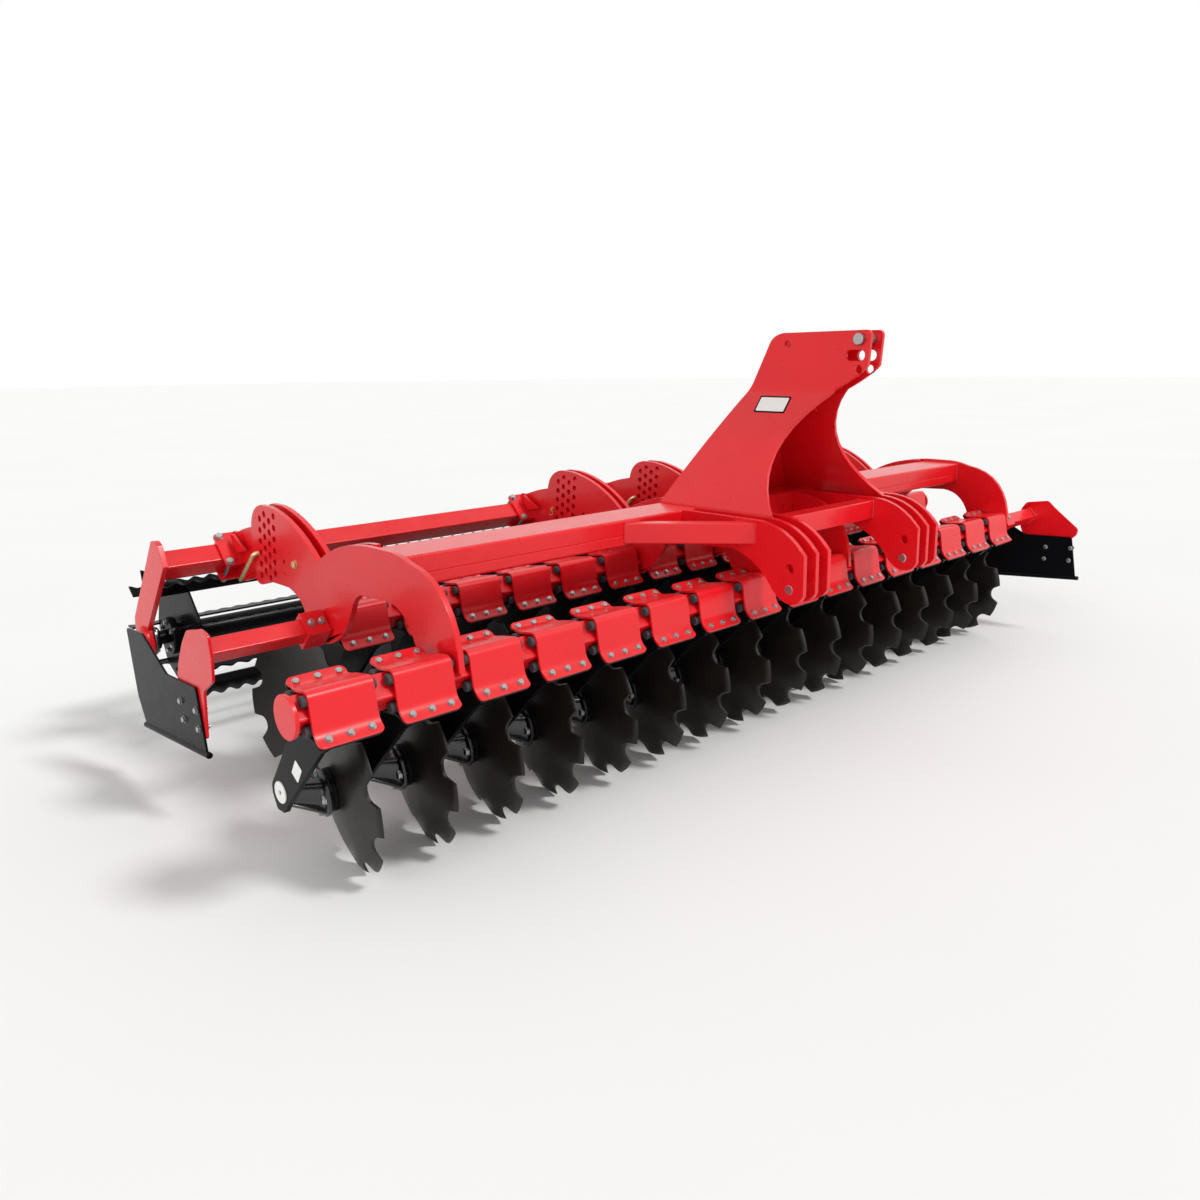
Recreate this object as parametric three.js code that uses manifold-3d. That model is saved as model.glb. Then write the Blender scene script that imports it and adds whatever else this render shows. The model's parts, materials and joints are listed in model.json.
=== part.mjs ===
// Mounted compact disc harrow, about 4 m wide: two gangs of notched discs on rubber-sprung arms,
// a headstock for the tractor's three-point linkage, and a tooth-bar cage roller behind.
// Millimetres. +Z is up, -Y is the front (the tractor's side), +X is the machine's left.
// While it is built, Y = 0 and Z = 0 are under the front gang tube and on the ground.
import * as THREE from 'three';
import { mergeVertices } from 'three/addons/utils/BufferGeometryUtils.js';
import Module from 'manifold-3d';

const wasm = await Module();
wasm.setup();

// ---------------------------------------------------------------- driving dimensions
const touch = 0.35;                    // gap between pieces that meet
const degree = Math.PI / 180;

const armsPerGang = 16;
const armPitch = 250;
const firstClampX = -2115;             // front gang; the rear gang is its mirror image
const gangTubeSide = 80;               // square tubes that stand on one edge
const gangHeight = 610;
const rowPitch = 718;                  // front tube to rear tube
const gangLongEnd = 2244;              // tube end that carries the round end plate
const gangShortEnd = 1840;             // tube end that takes the deflector's arm
const endPlateRadius = 61;
const endPlateThickness = 12;

const clampWidth = 190;
const clampHalf = 65;                  // half the clamp's outer square
const clampFlangeReach = 120;          // tube centre to flange edge
const clampFlangeHalf = 8;
const clampTilt = 9 * degree;          // the rubber lets the arms' weight turn the clamps back

const armPlateX = -60;                 // outer face of the arm, from its clamp's centre
const armPlateThickness = 16;

const discRadius = 280;
const discThickness = 6;
const discDepth = 50;                  // dish depth
const discLobes = 9;
const discLobeHalf = 11 * degree;
const discNotchRadius = 236;
const discSeatRadius = 72;
const hubPlateLength = 16;             // the part of the hub that turns with the disc
const hubPlateRadius = 66;
const discCentre = { x: 140, y: 206 }; // rim's centre, from its clamp's centre
const discAttack = 10.5 * degree;
const discUndercut = 4 * degree;
const hubGap = 4;
const hubRise = 38;                    // the hub's arm end stands above the disc's axis

const beam = { front: 230, rear: 427, bottom: 817, top: 917 };
const plateThickness = 20;
const sidePlateX = 1742;
const innerPlateX = 250;
const quadrantSpacing = 46;            // between the two plates that hold a roller arm

const hitchPlateX = [317, 391, 465];
const hitchPinRadius = 18;
const lowerLink = { y: -271, z: 683, upperZ: 758 };
const braceSide = 76;

const foldHeight = 1360;               // headstock plates splay out below this height
const headstockHalf = 40;
const headstockFoot = 385;
const headstockThickness = 15;
const splay = Math.atan((headstockFoot - headstockHalf) / (foldHeight - beam.top));

const rollerPivot = { y: 895, z: 800 };
const rollerAxis = { y: 1640, z: 430 };
const rollerRadius = 275;
const rollerBars = 9;
const rollerHalf = 2012;
const rollerTubeRadius = 45;
const rollerFlange = { x: 1940, radius: 75, thickness: 30 };
const rollerShaftRadius = 28;
const rollerBarDepth = 55;
const rollerBarThickness = 8;
const rollerPlateX = [-1900, -950, 0, 950, 1900];
const rollerFrame = { y: 1450, z: 752 };
const rollerEndX = 2030;
const rollerArmWidth = 16;

const deflectorX = 2160;
const deflectorTubeSide = 62;
const bracketThickness = 10;
const deflectorThickness = 8;

// ---------------------------------------------------------------- materials
const red = { color: 0xc8141c, roughness: 0.32, metalness: 0.15 };
const black = { color: 0x141416, roughness: 0.35, metalness: 0.3 };

const harrow = new THREE.Group();

// ---------------------------------------------------------------- solids
function toManifold(geometry) {
  const bare = new THREE.BufferGeometry();
  bare.setAttribute('position', geometry.getAttribute('position').clone());
  if (geometry.index) bare.setIndex(geometry.index.clone());
  const merged = mergeVertices(bare);
  return new wasm.Manifold(new wasm.Mesh({
    numProp: 3,
    vertProperties: new Float32Array(merged.getAttribute('position').array),
    triVerts: new Uint32Array(merged.index.array),
  }));
}

function toGeometry(manifold) {
  const mesh = manifold.getMesh();
  const geometry = new THREE.BufferGeometry();
  geometry.setAttribute('position', new THREE.BufferAttribute(mesh.vertProperties, 3));
  geometry.setIndex(new THREE.BufferAttribute(mesh.triVerts, 1));
  return geometry;
}

function join(pieces) {
  const [first, ...others] = pieces.map(toManifold);
  return toGeometry(others.reduce((whole, piece) => whole.add(piece), first));
}

function cut(body, tools) {
  const whole = tools.map(toManifold).reduce((rest, tool) => rest.subtract(tool), toManifold(body));
  return toGeometry(whole);
}

function addNode(name, geometry, look) {
  const finished = geometry.index ? geometry.toNonIndexed() : geometry;
  finished.computeVertexNormals();
  const mesh = new THREE.Mesh(finished, new THREE.MeshStandardMaterial(look));
  mesh.name = name;
  harrow.add(mesh);
  return mesh;
}

function box(x, y, z) {
  const size = [x, y, z].map(([low, high]) => high - low);
  const centre = [x, y, z].map(([low, high]) => (high + low) / 2);
  return new THREE.BoxGeometry(...size).translate(...centre);
}

function outline(points) {
  return new THREE.Shape(points.map(([y, z]) => new THREE.Vector2(y, z)));
}

// A plate that stands fore and aft: its shape is drawn in (Y, Z) and it is centred on x.
const foreAft = new THREE.Matrix4().makeBasis(
  new THREE.Vector3(0, 1, 0), new THREE.Vector3(0, 0, 1), new THREE.Vector3(1, 0, 0));

function plate(shape, x, thickness, curveSegments = 4) {
  const geometry = new THREE.ExtrudeGeometry(shape, { depth: thickness, bevelEnabled: false, curveSegments });
  return geometry.translate(0, 0, -thickness / 2).applyMatrix4(foreAft).translate(x, 0, 0);
}

// The square section of a tube that stands on its edge, grown by a clearance.
function diamond(y, z, side, clearance = 0) {
  const reach = side / Math.SQRT2 + clearance;
  return [[y - reach, z], [y, z - reach], [y + reach, z], [y, z + reach]];
}

function diamondTube(y, z, side, fromX, toX) {
  return plate(outline(diamond(y, z, side)), (fromX + toX) / 2, toX - fromX);
}

function rod(x, y, z, radius, length, sides = 12) {
  return new THREE.CylinderGeometry(radius, radius, length, sides).rotateZ(Math.PI / 2).translate(x, y, z);
}

function punch(shape, points) {
  shape.holes.push(new THREE.Path(points.map(([y, z]) => new THREE.Vector2(y, z))));
  return shape;
}

function ring(y, z, radius, sides = 8) {
  return Array.from({ length: sides }, (_, i) => {
    const angle = (i + 0.5) * 2 * Math.PI / sides;
    return [y + radius * Math.cos(angle), z + radius * Math.sin(angle)];
  });
}

// ---------------------------------------------------------------- discs
const discAxis = new THREE.Vector3(
  Math.cos(discAttack) * Math.cos(discUndercut),
  -Math.sin(discAttack) * Math.cos(discUndercut),
  Math.sin(discUndercut));
const discCentreZ = discRadius * Math.cos(discLobeHalf) * Math.cos(discUndercut)
  + discThickness * Math.sin(discUndercut);
const discSeat = new THREE.Vector3(discCentre.x, discCentre.y, discCentreZ)
  .addScaledVector(discAxis, -discDepth);

function dishHeight(radius) {
  const curve = (discRadius ** 2 + discDepth ** 2) / (2 * discDepth);
  return curve - Math.sqrt(curve ** 2 - radius ** 2);
}

// One closed shell: dish front, notched rim, dish back and the hub plate behind it.
// The axis is local Z, the hollow side looks along +Z and the seat is at the origin.
function discGeometry() {
  const vertices = [];
  const faces = [];
  const lobeStep = 2 * Math.PI / discLobes;
  const addRing = (count, angleAt, radiusAt, height) => {
    const start = vertices.length / 3;
    for (let i = 0; i < count; i += 1) {
      const radius = radiusAt(i);
      vertices.push(radius * Math.cos(angleAt(i)), radius * Math.sin(angleAt(i)), height(radius));
    }
    return start;
  };
  const rimOffsets = [-discLobeHalf, discLobeHalf, lobeStep / 2];
  const rimAngle = (i) => Math.floor(i / 3) * lobeStep - Math.PI / 2 + rimOffsets[i % 3];
  const rimRadius = (i) => (i % 3 < 2 ? discRadius : discNotchRadius);
  const lobeAngle = (i) => i * lobeStep - Math.PI / 2;
  const rimCount = 3 * discLobes;
  const seatHeight = dishHeight(discSeatRadius);
  const frontRim = addRing(rimCount, rimAngle, rimRadius, dishHeight);
  const backRim = addRing(rimCount, rimAngle, rimRadius, (r) => dishHeight(r) - discThickness);
  const frontSeat = addRing(discLobes, lobeAngle, () => discSeatRadius, () => seatHeight);
  const backSeat = addRing(discLobes, lobeAngle, () => hubPlateRadius, () => -discThickness);
  const hubEnd = addRing(discLobes, lobeAngle, () => hubPlateRadius, () => -discThickness - hubPlateLength);
  const turn = (face, flip) => faces.push(...(flip ? [face[0], face[2], face[1]] : face));
  for (let lobe = 0; lobe < discLobes; lobe += 1) {
    const next = (lobe + 1) % discLobes;
    for (const [rim, seat, flip] of [[frontRim, frontSeat, false], [backRim, backSeat, true]]) {
      const a = rim + 3 * lobe;
      turn([seat + lobe, a, a + 1], flip);
      turn([seat + lobe, a + 1, a + 2], flip);
      turn([seat + lobe, a + 2, seat + next], flip);
      turn([seat + next, a + 2, rim + 3 * next], flip);
    }
    turn([backSeat + lobe, hubEnd + next, hubEnd + lobe], true);
    turn([backSeat + lobe, backSeat + next, hubEnd + next], true);
  }
  for (let i = 0; i < rimCount; i += 1) {
    const next = (i + 1) % rimCount;
    turn([frontRim + i, backRim + i, backRim + next], false);
    turn([frontRim + i, backRim + next, frontRim + next], false);
  }
  for (let i = 1; i < discLobes - 1; i += 1) {
    turn([frontSeat, frontSeat + i, frontSeat + i + 1], false);
    turn([hubEnd, hubEnd + i, hubEnd + i + 1], true);
  }
  const geometry = new THREE.BufferGeometry();
  geometry.setAttribute('position', new THREE.Float32BufferAttribute(vertices, 3));
  geometry.setIndex(faces);
  return geometry;
}

// side is +1 on the front gang, whose discs look to the left, and -1 on the rear gang.
function discTurn(side) {
  const axis = new THREE.Vector3(side * discAxis.x, discAxis.y, discAxis.z);
  const up = new THREE.Vector3(0, 0, 1).addScaledVector(axis, -axis.z).normalize();
  const across = new THREE.Vector3().crossVectors(up, axis);
  return new THREE.Matrix4().makeBasis(across, up, axis);
}

function clampX(side, index) {
  const x = firstClampX + index * armPitch;
  return side > 0 ? x : -firstClampX - (armsPerGang - 1 - index) * armPitch;
}

function addDiscs(name, side, gangY) {
  const shape = discGeometry();
  for (let i = 0; i < armsPerGang; i += 1) {
    const disc = addNode(`${name}_${String(i + 1).padStart(2, '0')}`, shape, black);
    disc.quaternion.setFromRotationMatrix(discTurn(side));
    disc.position.set(clampX(side, i) + side * discSeat.x, gangY + discSeat.y, discSeat.z);
  }
}

// ---------------------------------------------------------------- gangs
// Section of a clamp in (Y, Z) from the tube's centre: the folded shell and both flange pairs.
function clampShape() {
  const reach = clampFlangeReach / Math.SQRT2;
  const half = clampFlangeHalf / Math.SQRT2;
  const root = clampHalf - 2 * half;
  const fold = 25;
  const [cos, sin] = [Math.cos(clampTilt), Math.sin(clampTilt)];
  return outline([
    [reach - half, reach + half], [root, clampHalf], [fold - clampHalf, clampHalf],
    [-clampHalf, clampHalf - fold], [-clampHalf, -root], [-reach - half, -reach + half],
    [-reach + half, -reach - half], [-root, -clampHalf], [clampHalf - fold, -clampHalf],
    [clampHalf, fold - clampHalf], [clampHalf, root], [reach + half, reach - half],
  ].map(([y, z]) => [y * cos + z * sin, z * cos - y * sin]));
}

// Section of the cranked arm, from under the clamp down to the hub.
const armShape = outline([
  [-60, -95], [-56, -60], [58, -60], [165, -136], [286, -297], [288, -325], [264, -369], [217, -367],
  [180, -325], [-26, -116],
]);

function hubCone(side) {
  const length = (discCentre.x - armPlateX) / discAxis.x - discDepth - discThickness - hubPlateLength - hubGap;
  const cone = new THREE.CylinderGeometry(62, 34, length, 10).rotateX(Math.PI / 2);
  const corners = cone.getAttribute('position');
  for (let i = 0; i < corners.count; i += 1) {
    if (corners.getZ(i) < 0) corners.setY(i, corners.getY(i) + hubRise);
  }
  const start = discThickness + hubPlateLength + hubGap + length / 2;
  cone.translate(0, 0, -start).applyMatrix4(discTurn(side));
  return cone.translate(side * discSeat.x, discSeat.y, discSeat.z - gangHeight);
}

function gangGeometry(side, gangY) {
  const tubeEnds = side > 0 ? [-gangLongEnd, gangShortEnd] : [-gangShortEnd, gangLongEnd];
  const pieces = [diamondTube(0, 0, gangTubeSide, ...tubeEnds)];
  pieces.push(rod(-side * gangLongEnd, 0, 0, endPlateRadius, endPlateThickness, 16));
  for (let i = 0; i < armsPerGang; i += 1) {
    const x = clampX(side, i);
    pieces.push(plate(clampShape(), x, clampWidth));
    pieces.push(plate(armShape, x + side * (armPlateX + armPlateThickness / 2), armPlateThickness));
    pieces.push(hubCone(side).translate(x, 0, 0));
  }
  return join(pieces).translate(0, gangY, gangHeight);
}

// ---------------------------------------------------------------- plates of the main frame
// Top and rear edge of the quadrant, from the beam round to its lower corner, as (Y, Z).
function quadrantEdge(shape) {
  shape.quadraticCurveTo(590, 925, 734, 833);
  shape.quadraticCurveTo(880, 960, 1064, 984);
  shape.lineTo(1135, 985);
  shape.quadraticCurveTo(1232, 970, 1233, 860);
  shape.lineTo(1225, 700);
  shape.quadraticCurveTo(1215, 680, 1182, 681);
}

// The whole plate: the hooked front arm over the front tube, the beam's seat, the lobe round the
// rear tube and the quadrant. An inner plate is notched for the beam, an outer one closes its end.
function framePlate(notched) {
  const reach = gangTubeSide / Math.SQRT2 + 1;
  const shape = new THREE.Shape();
  shape.moveTo(-66, gangHeight + 14);
  shape.quadraticCurveTo(-52, 880, 173, 910);
  if (notched) {
    shape.lineTo(beam.front - touch, beam.top - 4);
    shape.lineTo(beam.front - touch, beam.bottom - touch);
    shape.lineTo(beam.rear + touch, beam.bottom - touch);
    shape.lineTo(beam.rear + touch, 926);
  } else {
    shape.lineTo(277, 930);
    shape.lineTo(401, 930);
  }
  quadrantEdge(shape);
  shape.lineTo(1090, 705);
  shape.lineTo(964, 706);
  shape.quadraticCurveTo(852, 680, 852, 615);
  shape.lineTo(828, 560);
  shape.quadraticCurveTo(743, 525, 640, 575);
  shape.quadraticCurveTo(560, 620, 516, 720);
  shape.quadraticCurveTo(490, 763, 440, 765);
  shape.lineTo(300, 772);
  shape.quadraticCurveTo(200, 765, 160, 665);
  shape.lineTo(124, gangHeight + 30);
  shape.lineTo(72, gangHeight + 14);
  shape.lineTo(reach - 14, gangHeight + 14);
  shape.lineTo(0, gangHeight + reach);
  shape.lineTo(14 - reach, gangHeight + 14);
  punch(shape, diamond(rowPitch, gangHeight, gangTubeSide, 1));
  return shape;
}

// The second plate of each pair: only the quadrant, clear of the rear gang below it.
function doublerPlate() {
  const shape = new THREE.Shape();
  shape.moveTo(beam.rear + touch, beam.bottom);
  shape.lineTo(beam.rear + touch, 926);
  quadrantEdge(shape);
  shape.lineTo(1090, 705);
  shape.lineTo(964, 706);
  shape.quadraticCurveTo(900, 735, 740, 742);
  shape.quadraticCurveTo(560, 745, beam.rear + touch, beam.bottom);
  return shape;
}

function addFrame() {
  const beamHalf = sidePlateX - plateThickness / 2 - touch;
  const beamBody = box([-beamHalf, beamHalf], [beam.front, beam.rear], [beam.bottom, beam.top]);
  addNode('main_beam', beamBody, red);
  for (const [side, hand] of [[-1, 'right'], [1, 'left']]) {
    addNode(`side_plate_${hand}`, plate(framePlate(false), side * sidePlateX, plateThickness), red);
    addNode(`side_quadrant_${hand}`,
      plate(doublerPlate(), side * (sidePlateX - quadrantSpacing), plateThickness), red);
    addNode(`inner_plate_${hand}`, plate(framePlate(true), side * innerPlateX, plateThickness), red);
    addNode(`inner_quadrant_${hand}`,
      plate(doublerPlate(), side * (innerPlateX + quadrantSpacing), plateThickness), red);
  }
}

// ---------------------------------------------------------------- hitch
function hitchPlate() {
  const shape = new THREE.Shape();
  shape.moveTo(beam.front - touch, beam.top);
  shape.lineTo(-130, beam.top);
  shape.quadraticCurveTo(-250, 910, -331, 811);
  shape.lineTo(-333, 668);
  shape.quadraticCurveTo(-315, 631, -275, 631);
  shape.quadraticCurveTo(-225, 632, -183, 695);
  shape.quadraticCurveTo(-120, 775, -16, 800);
  shape.lineTo(beam.front - touch, 786);
  punch(shape, ring(lowerLink.y, lowerLink.upperZ, hitchPinRadius));
  return shape;
}

// The brace runs from the beam's front face, well outside the hitch, to the outer hitch plate.
function brace(side) {
  const outer = side * (hitchPlateX[2] + plateThickness / 2);
  const far = side * 800;
  const nearY = -118;
  const corner = braceSide * 0.72;
  const shape = new THREE.Shape([
    [outer - side * 4, nearY], [far, beam.front - touch],
    [far - side * corner * 1.45, beam.front - touch], [outer - side * 4, nearY + corner * 1.6],
  ].map(([x, y]) => new THREE.Vector2(x, y)));
  const geometry = new THREE.ExtrudeGeometry(shape, { depth: braceSide, bevelEnabled: false });
  return geometry.translate(0, 0, 828);
}

function addHitch() {
  for (const [side, hand] of [[-1, 'right'], [1, 'left']]) {
    const pieces = hitchPlateX.map((x) => plate(hitchPlate(), side * x, plateThickness));
    const pinLength = hitchPlateX[2] - hitchPlateX[0] + plateThickness + 8;
    pieces.push(rod(side * hitchPlateX[1], lowerLink.y, lowerLink.z, hitchPinRadius, pinLength, 10));
    pieces.push(brace(side));
    addNode(`hitch_${hand}`, join(pieces), red);
  }
  const tubeHalf = hitchPlateX[0] - plateThickness / 2 - touch;
  addNode('hitch_cross_tube', box([-tubeHalf, tubeHalf], [-125, -49], [829, 905]), red);
}

// ---------------------------------------------------------------- headstock
function headstockTop() {
  const shape = new THREE.Shape();
  shape.moveTo(-144, foldHeight - 6);
  shape.quadraticCurveTo(-262, 1425, -280, 1452);
  shape.lineTo(-288, 1560);
  shape.quadraticCurveTo(-287, 1582, -266, 1582);
  shape.lineTo(99, 1578);
  shape.quadraticCurveTo(150, 1572, 166, 1534);
  shape.lineTo(252, foldHeight - 6);
  punch(shape, ring(-244, 1548, 21));
  punch(shape, [[-266, 1480], [-256, 1470], [-195, 1470], [-185, 1480], [-185, 1500], [-195, 1510],
    [-256, 1510], [-266, 1500]]);
  punch(shape, ring(-240, 1440, 16));
  return shape;
}

// Splayed lower part, drawn in its own plane: Y and the distance up the slope from the fold.
function headstockLeg() {
  const down = (z) => (z - foldHeight) / Math.cos(splay);
  const shape = new THREE.Shape();
  shape.moveTo(-144, 0);
  shape.quadraticCurveTo(120, down(1141), -125, down(917));
  shape.lineTo(-125, down(860));
  shape.lineTo(430, down(860));
  shape.lineTo(430, down(917));
  shape.quadraticCurveTo(345, down(1180), 252, 0);
  return shape;
}

function headstockSide(side) {
  const upper = plate(headstockTop(), side * headstockHalf, headstockThickness);
  const upSlope = new THREE.Vector3(-side * Math.sin(splay), 0, Math.cos(splay));
  const along = new THREE.Vector3(0, 1, 0);
  const basis = new THREE.Matrix4().makeBasis(along, upSlope, new THREE.Vector3().crossVectors(along, upSlope));
  const leg = new THREE.ExtrudeGeometry(headstockLeg(),
    { depth: headstockThickness, bevelEnabled: false, curveSegments: 6 });
  leg.translate(0, 0, -headstockThickness / 2).applyMatrix4(basis);
  leg.translate(side * headstockHalf, 0, foldHeight);
  const below = box([-700, 700], [-400, 700], [beam.bottom, beam.top + touch]);
  return cut(join([upper, leg]), [below]);
}

// Half the room between the splayed plates at a height.
function roomAt(z) {
  return headstockHalf - headstockThickness + (foldHeight - z) * Math.tan(splay);
}

function headstockBack() {
  const lean = Math.atan(170 / 423);
  const bottomY = 375;
  const topZ = 1330;
  const up = (z) => (z - beam.top - touch) / Math.cos(lean);
  const shape = new THREE.Shape([
    [-roomAt(beam.top), up(beam.top)], [roomAt(beam.top), up(beam.top)],
    [roomAt(topZ), up(topZ)], [-roomAt(topZ), up(topZ)],
  ].map(([x, v]) => new THREE.Vector2(x, v + touch)));
  shape.holes.push(new THREE.Path([[-85, 1085], [85, 1085], [85, 1190], [-85, 1190]]
    .map(([x, z]) => new THREE.Vector2(x, up(z)))));
  const geometry = new THREE.ExtrudeGeometry(shape, { depth: 12, bevelEnabled: false });
  geometry.rotateX(Math.PI / 2 + lean);
  const body = geometry.translate(0, bottomY, beam.top + 2 * touch);
  return cut(body, [box([-700, 700], [200, 700], [beam.bottom, beam.top + touch])]);
}

function headstockTie() {
  const topZ = 1340;
  const bottomZ = 1262;
  const shape = new THREE.Shape();
  shape.moveTo(-roomAt(bottomZ), bottomZ);
  shape.quadraticCurveTo(0, bottomZ + 60, roomAt(bottomZ), bottomZ);
  shape.lineTo(roomAt(topZ), topZ);
  shape.lineTo(-roomAt(topZ), topZ);
  const geometry = new THREE.ExtrudeGeometry(shape, { depth: 12, bevelEnabled: false, curveSegments: 6 });
  return geometry.rotateX(Math.PI / 2).translate(0, 30, 0);
}

function addHeadstock() {
  addNode('headstock_right', headstockSide(-1), red);
  addNode('headstock_left', headstockSide(1), red);
  addNode('headstock_back', headstockBack(), red);
  addNode('headstock_tie', headstockTie(), red);
}

// ---------------------------------------------------------------- deflectors
// The trailing sheet and its bracket at one end; the left one hangs from the front gang. The
// sheet is on the right-hand side of its bracket at both ends.
const sheetPoints = [[766, 253], [805, 473], [1058, 460], [1252, 564], [1411, 554], [1372, 307], [1315, 205]];
const rightBracket = [[733, 681], [678, 672], [667, 590], [676, 520], [757, 470], [776, 300], [955, 320],
  [972, 471], [950, 524], [903, 598], [849, 655]];
const leftBracket = [[48, 640], [20, 683], [-97, 702], [-136, 667], [-268, 564], [-262, 330], [-100, 330],
  [0, 440], [48, 560]];

function deflector(side, gangY, sheetShift, bracket) {
  const shifted = sheetPoints.map(([y, z]) => [y + sheetShift[0], z + sheetShift[1]]);
  const bracketX = side * deflectorX;
  const sheetX = bracketX - (bracketThickness + deflectorThickness) / 2;
  const armEnd = deflectorX - bracketThickness / 4;
  const arm = side > 0
    ? diamondTube(gangY, gangHeight, deflectorTubeSide, gangShortEnd + touch, armEnd)
    : diamondTube(gangY, gangHeight, deflectorTubeSide, -armEnd, -gangShortEnd - touch);
  return join([arm, plate(outline(bracket), bracketX, bracketThickness),
    plate(outline(shifted), sheetX, deflectorThickness)]);
}

function addDeflectors() {
  addNode('deflector_right', deflector(-1, rowPitch, [0, 0], rightBracket), black);
  addNode('deflector_left', deflector(1, 0, [-1048, 45], leftBracket), black);
}

// ---------------------------------------------------------------- roller
// A plate that carries the bars: a full polygon at both ends, a star of narrow arms between.
function rollerPlate(full) {
  const points = [];
  const at = (radius, angle) => points.push([radius * Math.cos(angle), radius * Math.sin(angle)]);
  for (let i = 0; i < rollerBars; i += 1) {
    const angle = (i / rollerBars) * 2 * Math.PI;
    const half = 5 * degree;
    const outer = rollerRadius - rollerBarDepth + 12;
    at(outer, angle - half);
    at(outer, angle + half);
    if (!full) at(70, angle + Math.PI / rollerBars);
  }
  return outline(points);
}

function rollerGeometry() {
  const shaftLength = 2 * (rollerEndX - plateThickness / 2 - 1);
  const pieces = [rod(0, 0, 0, rollerTubeRadius, 2 * rollerFlange.x, 12),
    rod(0, 0, 0, rollerShaftRadius, shaftLength, 12)];
  for (const side of [-1, 1]) {
    pieces.push(rod(side * rollerFlange.x, 0, 0, rollerFlange.radius, rollerFlange.thickness, 12));
  }
  for (const x of rollerPlateX) pieces.push(plate(rollerPlate(Math.abs(x) > rollerHalf / 2), x, 8));
  for (let i = 0; i < rollerBars; i += 1) {
    const bar = box([-rollerHalf, rollerHalf],
      [rollerRadius - rollerBarDepth, rollerRadius], [-rollerBarThickness / 2, rollerBarThickness / 2]);
    pieces.push(bar.rotateX((i / rollerBars) * 2 * Math.PI));
  }
  return join(pieces);
}

function rollerArm() {
  const shape = new THREE.Shape();
  const reach = gangTubeSide / Math.SQRT2 + 1;
  const { y, z } = rollerFrame;
  shape.moveTo(rollerPivot.y, rollerPivot.z - 55);
  shape.quadraticCurveTo(rollerPivot.y - 55, rollerPivot.z - 55, rollerPivot.y - 55, rollerPivot.z);
  shape.quadraticCurveTo(rollerPivot.y - 55, rollerPivot.z + 55, rollerPivot.y, rollerPivot.z + 55);
  shape.quadraticCurveTo(1090, 925, 1230, 893);
  shape.quadraticCurveTo(1330, 880, y - 30, z + 95);
  shape.lineTo(y + 8, z + 95);
  shape.lineTo(y + 8, z + reach - 8);
  shape.lineTo(y, z + reach);
  shape.lineTo(y - reach, z);
  shape.lineTo(y, z - reach);
  shape.lineTo(y + 8, z - reach + 8);
  shape.lineTo(y + 8, z - 95);
  shape.lineTo(y - 60, z - 95);
  shape.quadraticCurveTo(1230, 705, rollerPivot.y, rollerPivot.z - 55);
  return shape;
}

// The clamp plate of one arm, bolted over the beam's upper front face.
function rollerClamp(x) {
  const near = gangTubeSide / 2 + 1;
  const slab = box([x - 85, x + 85], [-75, 75], [near, near + 12]);
  return slab.rotateX(Math.PI / 4).translate(0, rollerFrame.y, rollerFrame.z);
}

function rollerEnd() {
  const shape = new THREE.Shape();
  shape.moveTo(1385, 838);
  shape.quadraticCurveTo(1415, 862, 1452, 848);
  shape.lineTo(1730, 510);
  shape.quadraticCurveTo(1765, 375, 1650, 345);
  shape.quadraticCurveTo(1590, 350, 1585, 430);
  shape.lineTo(1604, 476);
  shape.lineTo(1352, 764);
  return shape;
}

function addRoller() {
  addNode('roller', rollerGeometry().translate(0, rollerAxis.y, rollerAxis.z), black);
  const tubeHalf = rollerEndX - plateThickness / 2 - touch;
  addNode('roller_beam', diamondTube(rollerFrame.y, rollerFrame.z, gangTubeSide, -tubeHalf, tubeHalf), red);
  for (const [side, hand] of [[-1, 'right'], [1, 'left']]) {
    addNode(`roller_end_${hand}`, plate(rollerEnd(), side * rollerEndX, plateThickness), red);
    const outerArmX = side * (sidePlateX - quadrantSpacing / 2);
    const innerArmX = side * (innerPlateX + quadrantSpacing / 2);
    for (const [name, x] of [['roller_arm', outerArmX], ['roller_inner_arm', innerArmX]]) {
      addNode(`${name}_${hand}`, join([plate(rollerArm(), x, rollerArmWidth), rollerClamp(x)]), red);
    }
  }
}

// ---------------------------------------------------------------- assembly
addDiscs('disc_front', 1, 0);
addDiscs('disc_rear', -1, rowPitch);
addNode('front_gang', gangGeometry(1, 0), red);
addNode('rear_gang', gangGeometry(-1, rowPitch), red);
addFrame();
addHitch();
addHeadstock();
addDeflectors();
addRoller();

// The origin goes to the middle of the footprint, on the ground.
const extent = new THREE.Box3().setFromObject(harrow, true);
harrow.position.set(-(extent.min.x + extent.max.x) / 2, -(extent.min.y + extent.max.y) / 2, -extent.min.z);

export default harrow;
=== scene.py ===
import random
from math import atan, atan2, copysign, cos, hypot, pi, radians, sin, sqrt, tau

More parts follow.
